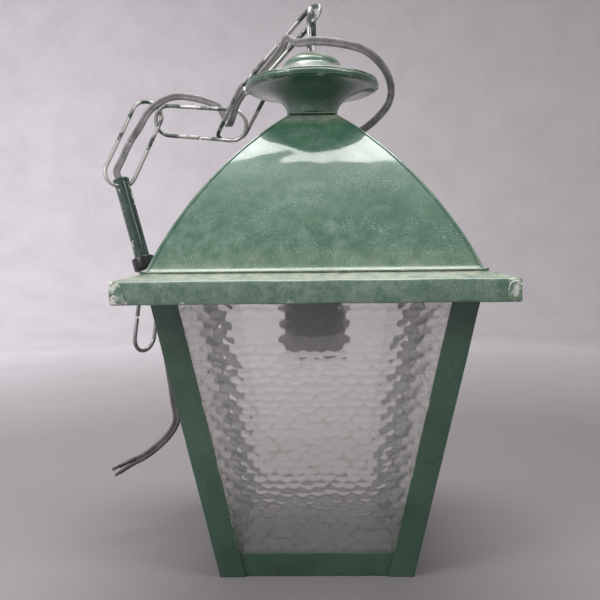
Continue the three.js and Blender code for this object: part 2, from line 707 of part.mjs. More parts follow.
const CAP_BOTTOM = HOLDER_CAP_TOP - HOLDER_CAP_HEIGHT;
function holderCap() {
  const R = HOLDER_RADIUS;
  const T = HOLDER_CAP_TOP;
  const w = HOLDER_WALL;
  const outer = [
    [NIPPLE_RADIUS + GAP, T],
    [R * 0.55, T],
    [R * 0.86, T - 3.4],
    [R * 0.97, T - 8],
    [R, T - 12],
    [R, CAP_BOTTOM],
  ];
  const inner = [
    [R - w, CAP_BOTTOM],
    [R - w, T - 12],
    [R * 0.97 - w, T - 8.6],
    [R * 0.86 - w, T - 5],
    [R * 0.55 - w / 2, T - w - 0.4],
    [NIPPLE_RADIUS + GAP, T - w - 0.4],
  ];
  return turned([...outer, ...inner], 32);
}
piece('lampholder_cap', holderCap(), BLACK);

const HOLDER_TOP = CAP_BOTTOM - GAP;
const HOLDER_BOTTOM = HOLDER_TOP - HOLDER_BODY_HEIGHT;
const SHELL_OUTER = SHELL_BORE_RADIUS + 1.3;
const INSERT_Z = HOLDER_BOTTOM + SHELL_HEIGHT + 1.5;
function holderBody() {
  const R = HOLDER_RADIUS;
  const bore = SHELL_OUTER + GAP;
  const B = HOLDER_BOTTOM;
  const ledge = INSERT_Z - GAP;
  const ring = (z) => [[R, z], [R + 0.8, z + 0.8], [R + 0.8, z + 3.2], [R, z + 4]];
  return turned([
    [bore, B],
    [R - 1, B],
    ...ring(B + 1.2),
    ...ring(B + 8),
    ...ring(B + 14.8),
    [R, HOLDER_TOP],
    [R - HOLDER_WALL, HOLDER_TOP],
    [R - HOLDER_WALL, ledge],
    [bore, ledge],
  ], 32);
}
piece('lampholder_body', holderBody(), BLACK);

function threadShell() {
  const pitch = SHELL_HEIGHT / 6;
  const outer = [];
  const inner = [];
  for (let i = 0; i <= 12; i++) {
    const z = HOLDER_BOTTOM + 0.8 + pitch * i / 2;
    const r = SHELL_BORE_RADIUS + (i % 2 ? 0.75 : 0);
    outer.push([r + 0.5, z]);
    inner.push([r, z]);
  }
  return turned([...outer, ...inner.reverse()], 24);
}
piece('thread_shell', threadShell(), BRASS);

piece('contact_block', turned([
  [0, INSERT_Z],
  [HOLDER_RADIUS - HOLDER_WALL - GAP, INSERT_Z],
  [HOLDER_RADIUS - HOLDER_WALL - GAP, INSERT_Z + INSERT_HEIGHT],
  [0, INSERT_Z + INSERT_HEIGHT],
], 24), PORCELAIN);

function contactTongue() {
  const curve = new THREE.CatmullRomCurve3([
    V(-7, 0, INSERT_Z - GAP - 0.4),
    V(-3.5, 0, INSERT_Z - GAP - 0.5),
    V(1, 0, INSERT_Z - 2.6),
    V(4.5, 0, INSERT_Z - 4.4),
  ]);
  const points = curve.getPoints(6);
  const half = 2.5;
  const sections = points.map((p) => [
    V(p.x, -half, p.z - 0.3),
    V(p.x, half, p.z - 0.3),
    V(p.x, half, p.z + 0.3),
    V(p.x, -half, p.z + 0.3),
  ]);
  return loft(sections, [[0, 1, 2], [0, 2, 3]]);
}
piece('centre_contact', contactTongue(), BRASS);

// Rubber grommet in the back of the roof, where the flex comes out
function grommet() {
  const b = GROMMET_BORE;
  const g = GROMMET_GROOVE;
  const geometry = turned([
    [b, -SHEET - GAP - GROMMET_FLANGE],
    [GROMMET_RADIUS - 0.6, -SHEET - GAP - GROMMET_FLANGE],
    [GROMMET_RADIUS, -SHEET - GAP],
    [g, -SHEET - GAP],
    [g, GAP],
    [GROMMET_RADIUS, GAP],
    [GROMMET_RADIUS, GAP + GROMMET_FLANGE * 0.5],
    [GROMMET_RADIUS - 1.2, GAP + GROMMET_FLANGE],
    [b, GAP + GROMMET_FLANGE],
  ], 20);
  geometry.applyQuaternion(new THREE.Quaternion().setFromUnitVectors(V(0, 0, 1), GROMMET_OUT));
  return geometry.translate(GROMMET_POINT.x, GROMMET_POINT.y, GROMMET_POINT.z);
}
piece('flex_grommet', grommet(), RUBBER);

// Chain as it lies: each link's middle, the heading of its length, its dip and its roll in degrees,
// and the side on which its wire butts
const LINKS = [
  { middle: V(-21.6, 19.6, 342.9), heading: 159, dip: 42, roll: -47, seam: -1 },
  { middle: V(-53, 59.2, 308.5), heading: 115, dip: 24, roll: -3, seam: 1 },
  { middle: V(-88.8, 79.9, 304.9), heading: 166, dip: -7, roll: 78, seam: -1 },
  { middle: V(-141.2, 75.8, 288.9), heading: 229, dip: 61, roll: -60, seam: 1 },
];
const STEM_AIM = V(-(EAVE_WIDTH / 2 + STEM_FROM_EAVE), 52, EAVE_TOP);   // beside the eave
const RING = { heading: 180, dip: 82, roll: 28 };

// Unit vectors of a link: down its length, across it and square to its plane
function linkAxes({ heading, dip, roll }) {
  const [h, d, r] = [heading, dip, roll].map(degrees);
  const along = V(Math.cos(d) * Math.cos(h), Math.cos(d) * Math.sin(h), -Math.sin(d));
  const level = V(-Math.sin(h), Math.cos(h), 0);
  const up = along.clone().cross(level);
  const across = level.multiplyScalar(Math.cos(r)).addScaledVector(up, Math.sin(r));
  return [along, across, along.clone().cross(across)];
}

// Centre line of an oval link, open where its wire butts
function ovalPath(length, width, diameter) {
  const straight = (length - width) / 2;
  const bend = (width - diameter) / 2;
  const steps = 8;
  const path = [[LINK_SEAM / 2, bend]];
  for (const end of [1, -1]) {
    for (let i = 0; i <= steps; i++) {
      const t = Math.PI * i / steps;
      path.push([end * (straight + bend * Math.sin(t)), end * bend * Math.cos(t)]);
    }
  }
  path.push([-LINK_SEAM / 2, bend]);
  return path;
}

function oval(middle, axes, length, width, diameter, seam) {
  const [along, across, normal] = axes;
  const points = ovalPath(length, width, diameter).map(([a, b]) => (
    middle.clone().addScaledVector(along, a).addScaledVector(across, b * seam)
  ));
  return sweep(points, diameter, normal);
}

LINKS.forEach((link, i) => {
  const shape = oval(link.middle, linkAxes(link), LINK_LENGTH, LINK_WIDTH, WIRE, link.seam);
  piece(`chain_link_${i + 1}`, shape, GREEN);
});

// Stem: a tube that the last link and the ceiling ring pass through crosswise
const LAST = LINKS[LINKS.length - 1];
const [LAST_DOWN, LAST_ACROSS] = linkAxes(LAST);
const bendPoint = (a, distance) => LAST.middle.clone()
  .addScaledVector(LAST_DOWN, (LINK_LENGTH - LINK_WIDTH) / 2 + Math.cos(a) * distance)
  .addScaledVector(LAST_ACROSS, Math.sin(a) * distance);
const LAST_SADDLE = bendPoint(degrees(STEM_ON_LINK), (LINK_WIDTH - WIRE) / 2);
const LAST_BACK = bendPoint(0, 0).sub(LAST_SADDLE).normalize();
const LAST_WIRE = LAST_ACROSS.clone().multiplyScalar(Math.cos(degrees(STEM_ON_LINK)))
  .addScaledVector(LAST_DOWN, -Math.sin(degrees(STEM_ON_LINK)));
const STEM_HEADING = STEM_AIM.clone().sub(LAST_SADDLE).normalize();
const besideStem = (wire) => STEM_HEADING.clone().cross(wire).normalize();
const LAST_SIDE = besideStem(LAST_WIRE);
const STEM_TOP = LAST_SADDLE.clone()
  .addScaledVector(LAST_SIDE, -STEM_OFFSET)
  .addScaledVector(STEM_HEADING, -STEM_HOLE_INSET);
const stemPoint = (distance, side, offset) => STEM_TOP.clone()
  .addScaledVector(STEM_HEADING, distance)
  .addScaledVector(side, offset);

const RING_AXES = linkAxes(RING);
const RING_SIDE = besideStem(RING_AXES[1].clone().negate());
const RING_SADDLE = stemPoint(STEM_LENGTH - STEM_HOLE_INSET, RING_SIDE, STEM_OFFSET);
const RING_MIDDLE = RING_SADDLE.clone().addScaledVector(RING_AXES[0], (RING_LENGTH - RING_WIRE) / 2);

function alongStem(geometry, distance) {
  geometry.applyQuaternion(new THREE.Quaternion().setFromUnitVectors(V(0, 0, 1), STEM_HEADING));
  const at = stemPoint(distance, LAST_SIDE, 0);
  return geometry.translate(at.x, at.y, at.z);
}

// Hole for a wire that turns back towards the middle of its link on both sides of the saddle
function crossHole(saddle, wire, back) {
  const at = saddle.clone().addScaledVector(back, CROSS_HOLE_LIFT);
  const reach = wire.clone().multiplyScalar(STEM_RADIUS * 3);
  return rodBetween(at.clone().sub(reach), at.clone().add(reach), CROSS_HOLE_RADIUS, 20);
}

function stem() {
  const R = STEM_RADIUS;
  const r = R - STEM_WALL;
  const tube = turned([
    [r, 0.4],
    [r + 0.4, 0],
    [R + STEM_LIP - 0.4, 0],
    [R + STEM_LIP, 0.6],
    [R + STEM_LIP, 1.6],
    [R, 3.2],
    [R, STEM_LENGTH],
    [r, STEM_LENGTH],
  ], 24);
  return cut(
    alongStem(tube, 0),
    crossHole(LAST_SADDLE, LAST_WIRE, LAST_BACK),
    crossHole(RING_SADDLE, RING_AXES[1], RING_AXES[0]),
  );
}
piece('stem_tube', stem(), GREEN);

function collar() {
  const inner = STEM_RADIUS + GAP;
  const R = COLLAR_RADIUS;
  const L = COLLAR_LENGTH;
  return turned([
    [inner, 0.5],
    [inner + 0.5, 0],
    [R - 0.8, 0],
    [R, 0.8],
    [R, L - 0.8],
    [R - 0.8, L],
    [inner + 0.5, L],
    [inner, L - 0.5],
  ], 32);
}
piece('stem_collar', alongStem(collar(), COLLAR_FROM_TOP), BLACK);
piece('ceiling_ring', oval(RING_MIDDLE, RING_AXES, RING_LENGTH, RING_WIDTH, RING_WIRE, 1), STEEL);

// Flex: one line from the lampholder to its bare end. Each stretch moves with what it lies along.
const flexInside = [
  V(0, 0, NIPPLE_TOP - 12),
  V(0, 0, NIPPLE_TOP + 2),
  V(1, 3, NIPPLE_TOP + 22),
  V(9, 15, 238),
  grommetPoint(-14),
  grommetPoint(-SHEET / 2),
];
const flexOverRoof = [
  V(27, 50, 284),
  V(46.7, 47, 298.9),
  V(55.4, 38, 308.5),
  V(56.4, 27, 317.3),
  V(50.8, 14, 326.6),
  V(37.9, 0, 335),
  V(22, -10, 337.5),
  V(0.9, -15, 338.3),
  V(-10.4, -6, 338.9),
];
const flexThroughLink1 = [
  V(-15.5, 6, 349.5),
  V(-21.6, 19.6, 342.9),
  V(-33, 32, 333.5),
  V(-45, 43.5, 325.5),
];
const flexAlongLink2 = [
  V(-53, 52, 319.5),
  V(-58, 58.5, 313.5),
  V(-61.5, 64.5, 306),
  V(-64.5, 71.5, 301.5),
];
const flexAlongLink3 = [
  V(-67.5, 78.5, 304),
  V(-70, 82, 311),
  V(-75, 83, 318.5),
  V(-84, 83, 322.5),
  V(-97, 84, 326),
  V(-110, 85, 327),
  V(-121, 84.5, 323),
];
const flexThroughLink4 = [
  V(-131.7, 86.8, 315.2),
  V(-139, 87.5, 304),
  V(-146.5, 84, 291),
  V(-151, 76.5, 277),
  V(-153.7, 69.6, 265.5),
  stemPoint(0, LAST_SIDE, -FLEX_OFFSET),
];
const flexTail = [
  stemPoint(24, LAST_SIDE, -FLEX_OFFSET),
  stemPoint(64, RING_SIDE, -FLEX_OFFSET),
  stemPoint(STEM_LENGTH, RING_SIDE, -FLEX_OFFSET),
  stemPoint(STEM_LENGTH + 6, RING_SIDE, -FLEX_OFFSET),
  V(-117.7, 45.8, 156.3),
  V(-112.1, 35.3, 138.2),
  V(-107.1, 28.3, 115.7),
  V(-103.7, 25.8, 93.8),
  V(-102.3, 25.3, 77.8),
  V(-108.1, 23.3, 67.9),
  V(-116, 19.8, 60.4),
  V(-124.4, 15.3, 54.8),
  V(-132.7, 11, 51.4),
  V(-142.2, 1, 47.5),
];
const FLEX = [
  ['flex_inside', flexInside, 9],
  ['flex_over_roof', flexOverRoof, 17],
  ['flex_through_link_1', flexThroughLink1, 9],
  ['flex_along_link_2', flexAlongLink2, 7],
  ['flex_along_link_3', flexAlongLink3, 13],
  ['flex_through_link_4', flexThroughLink4, 12],
  ['flex_tail', flexTail, 26],
];

const FLEX_LINE = new THREE.CatmullRomCurve3(FLEX.flatMap(([, points]) => points), false, 'centripetal');
FLEX_LINE.arcLengthDivisions = 3000;
const FLEX_LENGTHS = FLEX_LINE.getLengths();
const FLEX_TOTAL = FLEX_LENGTHS[FLEX_LENGTHS.length - 1];

// Length along the line up to one of its points
function lengthAt(index) {
  const share = index / (FLEX_LINE.points.length - 1);
  return FLEX_LENGTHS[Math.round(share * FLEX_LINE.arcLengthDivisions)];
}

// A stretch of the line between two lengths
class Stretch extends THREE.Curve {
  constructor(from, to) {
    super();
    this.from = from;
    this.to = to;
  }

  getPoint(t) {
    return FLEX_LINE.getPointAt(THREE.MathUtils.lerp(this.from, this.to, t) / FLEX_TOTAL);
  }
}

function flexStretch(from, to, steps) {
  const section = new THREE.Shape();
  for (let i = 0; i < FLEX_SIDES; i++) {
    const a = 2 * Math.PI * (i + 0.5) / FLEX_SIDES;
    const p = [FLEX_DIAMETER / 2 * Math.cos(a), FLEX_DIAMETER / 2 * Math.sin(a)];
    if (i === 0) section.moveTo(...p);
    else section.lineTo(...p);
  }
  const extrudePath = new Stretch(from, to);
  return new THREE.ExtrudeGeometry(section, { steps, bevelEnabled: false, extrudePath });
}

let flexIndex = -1;
for (const [name, points, steps] of FLEX) {
  const from = flexIndex < 0 ? 0 : lengthAt(flexIndex) + GAP / 2;
  flexIndex += points.length;
  const last = flexIndex === FLEX_LINE.points.length - 1;
  const to = last ? FLEX_TOTAL : lengthAt(flexIndex) - GAP / 2;
  piece(name, flexStretch(from, to, steps), GREY_FLEX);
}

// The origin goes to the middle of the front bottom rail's underside
const FRONT_FOOT = BASE_WIDTH / 2 - RAIL_OFFSET - RAIL_FLANGE / 2;
for (const mesh of group.children) {
  mesh.geometry.translate(0, FRONT_FOOT, 0);
}

export default group;
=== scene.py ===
# %% [markdown]
# A square porch lantern in painted sheet metal, dressed in Blender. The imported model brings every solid
# at its true size and place. This lesson gives them rolled edges, smooth wire, worn paint and hammered
# glass, one piece at a time. Everything is in metres, and the numbers are written in millimetres.

# %% Load the frame
import json
import math
import bpy
from mathutils import Matrix, Vector, noise

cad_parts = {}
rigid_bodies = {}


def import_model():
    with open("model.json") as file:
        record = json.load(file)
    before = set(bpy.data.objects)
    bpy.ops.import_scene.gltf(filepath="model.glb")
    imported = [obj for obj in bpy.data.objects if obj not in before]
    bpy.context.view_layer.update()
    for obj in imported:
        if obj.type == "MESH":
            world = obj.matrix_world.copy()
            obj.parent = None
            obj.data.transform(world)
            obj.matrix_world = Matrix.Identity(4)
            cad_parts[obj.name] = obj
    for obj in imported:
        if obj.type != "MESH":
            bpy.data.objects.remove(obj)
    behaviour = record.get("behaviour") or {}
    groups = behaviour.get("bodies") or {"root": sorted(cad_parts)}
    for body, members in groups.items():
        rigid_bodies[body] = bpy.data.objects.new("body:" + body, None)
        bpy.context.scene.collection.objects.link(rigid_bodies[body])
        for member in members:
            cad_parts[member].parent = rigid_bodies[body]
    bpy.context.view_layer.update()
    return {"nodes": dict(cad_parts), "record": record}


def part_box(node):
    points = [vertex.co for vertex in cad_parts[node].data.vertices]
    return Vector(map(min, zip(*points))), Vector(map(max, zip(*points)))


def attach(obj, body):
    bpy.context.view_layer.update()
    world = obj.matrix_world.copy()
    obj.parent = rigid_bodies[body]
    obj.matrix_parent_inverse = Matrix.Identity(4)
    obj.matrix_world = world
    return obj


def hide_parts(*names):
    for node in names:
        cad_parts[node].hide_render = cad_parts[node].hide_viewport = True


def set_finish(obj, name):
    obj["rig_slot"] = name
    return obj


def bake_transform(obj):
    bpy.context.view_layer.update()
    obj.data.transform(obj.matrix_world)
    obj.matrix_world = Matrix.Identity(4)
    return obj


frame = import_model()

NODES = frame["nodes"]
MM = 0.001
AXIS = Vector((0, 53.7, 0))      # the lantern's own upright axis, in mm
print("nodes:", len(NODES))

# %% [markdown]
# The camera comes first, because it decides what has to look right. The photograph was taken from about
# 48 cm away, a little above the middle of the glass and looking slightly down, so near corners look
# larger than far ones. A short lens close by gives that.

# %% Camera
CAMERA_PLACE = Vector((-1.14, -478.6 + AXIS.y, 196.8))
YAW, PITCH, ROLL = -0.018, 0.060, -0.011
forward = Vector((math.sin(YAW) * math.cos(PITCH), math.cos(YAW) * math.cos(PITCH), -math.sin(PITCH)))
level = Vector((math.cos(YAW), -math.sin(YAW), 0))
right = level * math.cos(ROLL) + level.cross(forward) * math.sin(ROLL)
camera = bpy.data.objects.new("camera", bpy.data.cameras.new("camera"))
camera.data.lens = 41.73
bpy.context.scene.collection.objects.link(camera)
turn = Matrix((right, right.cross(forward), -forward)).transposed().to_4x4()
camera.matrix_world = Matrix.Translation(CAMERA_PLACE * MM) @ turn
bpy.context.scene.camera = camera

# %% [markdown]
# The flex is a flat twin cable: two cores side by side, 5.6 mm wide and 2.9 mm thick. It leaves the back
# of the roof through a grommet, loops over the chimney, runs with the chain and drops through the stem.
# One smooth line goes through listed points, and a section is swept along it. Each stretch between
# two joints is its own piece, so that it can follow the chain.

# %% The flex's line
ROUTE = {
    "flex_inside": [(0, 53.7, 182.08), (0, 53.7, 196.08), (1, 56.7, 216.08), (9, 68.7, 238),
                    (18, 82.41, 260.14), (18, 91.96, 269.75)],
    "flex_over_roof": [(27, 103.7, 284), (46.7, 100.7, 298.9), (55.4, 91.7, 308.5), (56.4, 80.7, 317.3),
                       (50.8, 67.7, 326.6), (37.9, 53.7, 335), (22, 43.7, 337.5), (0.9, 38.7, 338.3),
                       (-9.4, 46.2, 339.6)],
    "flex_through_link_1": [(-16.8, 59, 346.4), (-21.6, 73.3, 342.9), (-33, 85.7, 333.5),
                            (-45, 97.2, 325.5)],
    "flex_along_link_2": [(-53, 105.7, 319.5), (-58, 112.2, 313.5), (-61.5, 118.2, 306),
                          (-64.5, 125.2, 301.5)],
    "flex_along_link_3": [(-67.5, 132.2, 304), (-70, 135.7, 311), (-75, 136.7, 318.5), (-84, 136.7, 322.5),
                          (-97, 137.7, 326), (-110, 138.7, 327), (-121, 138.2, 323)],
    "flex_through_link_4": [(-131.7, 140.5, 315.2), (-139, 141.2, 304), (-146.5, 137.7, 291)],
    "flex_into_stem": [(-151, 130.2, 277), (-153.7, 123.3, 265.5), (-150.69, 122.16, 258.86)],
    "flex_tail": [(-143.96, 118.27, 236.15), (-134.04, 110.51, 198.14), (-126.18, 105.97, 171.65),
                  (-124.5, 105, 165.97), (-117.7, 99.5, 156.3), (-112.1, 89, 138.2), (-107.1, 82, 115.7),
                  (-103.7, 79.5, 93.8), (-102.3, 79, 77.8), (-108.1, 77, 67.9), (-116, 73.5, 60.4),
                  (-124.4, 69, 54.8), (-132.7, 64.7, 51.4), (-142.2, 54.7, 47.5)],
}


STEPS = 8                        # pieces of line between two chosen points


def clamp(x):
    return min(1, max(0, x))


def smooth_line(points, each=STEPS):
    """Points on a centripetal curve through the given ones."""
    points = [Vector(p) for p in points]
    points = [2 * points[0] - points[1], *points, 2 * points[-1] - points[-2]]
    line = []
    for p0, p1, p2, p3 in zip(points, points[1:], points[2:], points[3:]):
        d0, d1, d2 = (max(1e-4, (b - a).length ** 0.5) for a, b in ((p0, p1), (p1, p2), (p2, p3)))
        m1 = ((p1 - p0) / d0 - (p2 - p0) / (d0 + d1) + (p2 - p1) / d1) * d1
        m2 = ((p2 - p1) / d1 - (p3 - p1) / (d1 + d2) + (p3 - p2) / d2) * d1
        for k in range(each):
            t = k / each
            line.append(p1 + m1 * t + (3 * (p2 - p1) - 2 * m1 - m2) * t ** 2
                        + (2 * (p1 - p2) + m1 + m2) * t ** 3)
    return [*line, points[-2]]


def length_of(line):
    return sum((b - a).length for a, b in zip(line, line[1:]))


FLEX_LINE = smooth_line([p for stretch in ROUTE.values() for p in stretch])
print("flex from the lampholder to its end:", round(length_of(FLEX_LINE)), "mm")

# %% [markdown]
# A flat cable's section needs a direction to lie in. Carrying the same one along, always square to the
# line, avoids sudden twists. Slow turns are added where the real flex shows its other side.

# %% Frames along the flex
def directions(line, first, turns):
    """Unit vectors square to the line, carried along and turned slowly between (share, degrees) pairs."""
    total, done, side, sides = length_of(line), 0.0, Vector(first), []
    for i, point in enumerate(line):
        ahead = (line[min(i + 1, len(line) - 1)] - line[max(i - 1, 0)]).normalized()
        side = (side - ahead * side.dot(ahead)).normalized()
        if i:
            done += (point - line[i - 1]).length
        share = done / total
        (s0, a0), (s1, a1) = next(((a, b) for a, b in zip(turns, turns[1:]) if share <= b[0]), turns[-2:])
        angle = a0 + (a1 - a0) * clamp((share - s0) / (s1 - s0))
        sides.append((Matrix.Rotation(math.radians(angle), 3, ahead) @ side, ahead))
    return sides


FLEX_TURNS = [(0, 0), (0.16, 24), (0.21, 12), (0.26, 62), (0.3, 98), (0.33, 96), (0.375, 52), (0.47, 40),
              (0.5, -10), (0.53, -28), (0.6, -40), (0.65, -38), (0.69, -20), (1, -18)]
FLEX_SIDES = directions(FLEX_LINE, (1, 0, 0), FLEX_TURNS)
CORE, HAIR = 1.45, 0.22          # radius of one covered core, and of one bare strand
APART = CORE * 0.93              # from the middle of the flex to the middle of a core
SPLIT, PARTING = 17, 0.9         # over this last length, each core moves out by this much


def twin_section():
    """Figure of eight: two round cores that touch along a groove."""
    lobe = [(APART + CORE * math.cos(a), CORE * math.sin(a))
            for a in (math.radians(-130 + 26 * k) for k in range(11))]
    return lobe + [(-x, -y) for x, y in lobe]


def swept(name, line, sides, section):
    """Closed tube of a section along a line."""
    n = len(section)
    points = [(at + side * a + ahead.cross(side) * b) * MM
              for at, (side, ahead) in zip(line, sides) for a, b in section]
    faces = [(i + j, i + (j + 1) % n, i + n + (j + 1) % n, i + n + j)
             for i in range(0, len(points) - n, n) for j in range(n)]
    faces += [tuple(range(n))[::-1], tuple(range(len(points) - n, len(points)))]
    mesh = bpy.data.meshes.new(name)
    mesh.from_pydata(points, [], faces)
    piece = bpy.data.objects.new(name, mesh)
    bpy.context.scene.collection.objects.link(piece)
    mesh.shade_smooth()
    return piece


# %% [markdown]
# Each stretch blends between the body it comes from and the body it goes to. The last one ends bare, as
# the photograph shows: its two cores are parted, and short strands stand out of them.

# %% The flex's stretches
def parted_cores(line, sides):
    """The two cores where they part, and the strands that fan out of them."""
    pieces = []
    ring = [(math.cos(math.radians(30 * k)), math.sin(math.radians(30 * k))) for k in range(12)]
    covering = [(CORE * a, CORE * b) for a, b in ring]
    hair = [(HAIR * a, HAIR * b) for a, b in ring[::2]]
    for sign, cut in ((1, 2), (-1, 3)):
        core = [p + side * sign * (APART + PARTING * (i / (len(line) - 1)) ** 1.4)
                for i, (p, (side, ahead)) in enumerate(zip(line, sides))]
        pieces.append(swept("core", core[:-cut], sides[:-cut], covering))
        for a, b in [(0, 0), *ring[::2]]:
            strand = [p + (side * a + ahead.cross(side) * b) * (0.55 + 0.13 * i)
                      for i, (p, (side, ahead)) in enumerate(zip(core[-cut - 2:], sides[-cut - 2:]))]
            pieces.append(swept("strand", strand, sides[-cut - 2:], hair))
    return pieces


def choose(*pieces):
    """Select these objects alone, and make the first of them active."""
    bpy.ops.object.select_all(action="DESELECT")
    for piece in pieces:
        piece.select_set(True)
    bpy.context.view_layer.objects.active = pieces[0]


BODIES = [("lantern",), ("lantern", "link_1"), ("link_1",), ("link_1", "link_2"), ("link_2", "link_3"),
          ("link_3", "link_4"), ("link_4", "stem"), ("stem",)]
last = -STEPS
for (name, route), bodies in zip(ROUTE.items(), BODIES):
    first, last = max(0, last), last + len(route) * STEPS
    path, sides = FLEX_LINE[first:last + 1], FLEX_SIDES[first:last + 1]
    tail = name == "flex_tail"
    whole = next(i for i in range(len(path)) if length_of(path[i:]) < SPLIT) if tail else len(path)
    piece = swept("twin_" + name, path[:whole], sides[:whole], twin_section())
    if tail:
        choose(piece, *parted_cores(path[whole - 1:], sides[whole - 1:]))
        bpy.ops.object.join()
    if len(bodies) == 2:
        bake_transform(piece)
    else:
        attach(piece, *bodies)
    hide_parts("flex_through_link_4" if name == "flex_into_stem" else name)
    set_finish(piece, "flex_sheath")
    print(piece.name, round(length_of(path), 1), "mm")

# %% [markdown]
# Most pieces are modelled the way a hand would: add a primitive, shape it in edit mode, then finish it
# with modifiers. An operator acts on all that is selected, so everything is deselected first.

# %% Modelling helpers
import bmesh


def begin(add, at=(0, 0, 0), **settings):
    """Add a primitive, with its place applied, and enter edit mode with all of it selected."""
    bpy.ops.object.select_all(action="DESELECT")
    add(location=Vector(at) * MM, **settings)
    bpy.ops.object.transform_apply(location=True, rotation=True, scale=True)
    bpy.ops.object.mode_set(mode="EDIT")
    bpy.ops.mesh.select_all(action="SELECT")
    return bpy.context.object


def pick(test):
    """Select in edit mode the edges that pass a test."""
    bpy.ops.mesh.select_mode(type="EDGE")
    bpy.ops.mesh.select_all(action="DESELECT")
    shape = bmesh.from_edit_mesh(bpy.context.edit_object.data)
    for edge in shape.edges:
        if test(edge):
            edge.select_set(True)
    bmesh.update_edit_mesh(bpy.context.edit_object.data)


def arrange(where):
    """In edit mode, move each vertex, by its number and its place."""
    shape = bmesh.from_edit_mesh(bpy.context.edit_object.data)
    for i, vertex in enumerate(shape.verts):
        vertex.co = Vector(where(i, vertex.co)) * MM
    bmesh.update_edit_mesh(bpy.context.edit_object.data)


def outline(points, fill="NGON"):
    """A closed outline through these points, in mm, in edit mode."""
    piece = begin(bpy.ops.mesh.primitive_circle_add, vertices=len(points), radius=1, fill_type=fill)
    arrange(lambda i, co: points[i])
    return piece


def grid(columns, rows, where):
    """A grid in edit mode whose points, from -1 to 1 both ways, go where the function says."""
    piece = begin(bpy.ops.mesh.primitive_grid_add, x_subdivisions=columns, y_subdivisions=rows, size=2)
    arrange(where)
    return piece


def push(step=(0, 0, 0)):
    """Extrude the selection by a step in mm."""
    bpy.ops.mesh.extrude_region_move(TRANSFORM_OT_translate={"value": Vector(step) * MM})


def tidy_up():
    """Merge doubles, turn the faces outward and leave edit mode."""
    bpy.ops.mesh.select_all(action="SELECT")
    bpy.ops.mesh.remove_doubles(threshold=1e-6)
    bpy.ops.mesh.normals_make_consistent(inside=False)
    bpy.ops.object.mode_set(mode="OBJECT")


def modify(piece, kind, **settings):
    """Add a modifier and apply it."""
    choose(piece)
    modifier = piece.modifiers.new(kind, kind)
    for key, value in settings.items():
        setattr(modifier, key, value)
    bpy.ops.object.modifier_apply(modifier=modifier.name)


def smooth(piece, angle=50):
    choose(piece)
    bpy.ops.object.shade_smooth_by_angle(angle=math.radians(angle))


def soften(piece, width=0.4, segments=3, angle=50):
    """Round the sharp edges and shade the rest smooth."""
    modify(piece, "BEVEL", width=width * MM, segments=segments, limit_method="ANGLE",
           angle_limit=math.radians(angle))
    smooth(piece, angle)


def turned(piece, turn):
    """The same piece, turned about the lantern's axis."""
    spot = Matrix.Translation(AXIS * MM)
    piece.data.transform(spot @ Matrix.Rotation(math.radians(turn), 4, "Z") @ spot.inverted())
    return piece


def another(piece, turn, mirror=False):
    """A copy with its own mesh, turned, and mirrored left to right if asked."""
    copy = piece.copy()
    copy.data = piece.data.copy()
    bpy.context.scene.collection.objects.link(copy)
    if mirror:
        turned(copy, turn).data.transform(Matrix.Scale(-1, 4, (1, 0, 0)))
        copy.data.flip_normals()
        return copy
    return turned(copy, turn)


def fit(piece, name, slot, *nodes, body="lantern"):
    """Name a finished piece, and say what it is made of, what it stands for and what it rides on."""
    piece.name = piece.data.name = name
    if nodes:
        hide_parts(*nodes)
    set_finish(piece, slot)
    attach(piece, body)
    print(name, len(piece.data.polygons), "faces")


def all_round(pattern, places, name, slot, node):
    """Four copies of a pattern, a quarter turn apart and named by their places, instead of the pattern."""
    for k, place in enumerate(places):
        fit(another(pattern, 90 * k), name + place, slot, node + place)
    bpy.data.objects.remove(pattern)


# %% [markdown]
# The roof is four sheets bent to one curve: a small lip that lies on the brim, a tight turn, and one long
# arc up to the neck. The curve is worked out once, as half widths and heights, and shared out evenly.

# %% The roof's curve
LIP, BEND, SPRING, TOP, BULGE = (95.9, 189.9), (92.7, 190.5), (91.2, 194.8), (15.5, 290.4), 7.3
SHEET = 0.9
SIDES = ("front", "right", "back", "left")
CORNERS = ("front_left", "front_right", "back_right", "back_left")


def evenly(points, count):
    """The same polyline with points at equal steps."""
    spans = [math.dist(a, b) for a, b in zip(points, points[1:])]
    steps, result = sum(spans) / (count - 1), []
    for i in range(count):
        left, k = i * steps, 0
        while k < len(spans) - 1 and left > spans[k]:
            left -= spans[k]
            k += 1
        share = min(1, left / spans[k])
        result.append(tuple(a + (b - a) * share for a, b in zip(points[k], points[k + 1])))
    return result


def roof_curve(count):
    points = [LIP]
    for k in range(1, 9):
        t = k / 8
        points.append(tuple((1 - t) ** 2 * a + 2 * t * (1 - t) * b + t * t * c
                            for a, b, c in zip((LIP[0] - 1.2, LIP[1] + 0.3), BEND, SPRING)))
    chord = math.dist(SPRING, TOP)
    radius = (chord ** 2 / 4 + BULGE ** 2) / (2 * BULGE)
    dw, dz = (TOP[0] - SPRING[0]) / chord, (TOP[1] - SPRING[1]) / chord
    half = math.asin(chord / 2 / radius)
    for k in range(1, 41):
        a = half * (2 * k / 40 - 1)
        along, out = chord / 2 + radius * math.sin(a), radius * (math.cos(a) - 1) + BULGE
        points.append((SPRING[0] + dw * along + dz * out, SPRING[1] + dz * along - dw * out))
    return evenly(points, count)


CURVE = roof_curve(56)
OUT = [((b[1] - a[1]) / math.dist(a, b), (a[0] - b[0]) / math.dist(a, b))
       for a, b in zip([CURVE[0], *CURVE], [*CURVE[1:], CURVE[-1]])]
print("roof curve:", len(CURVE), "points")

# %% [markdown]
# A panel is a grid, whose rows take their half width and height from the curve. Thin sheet is never quite
# true, so it gets shallow dents that fade out towards the hips. Solidify then gives it its thickness.

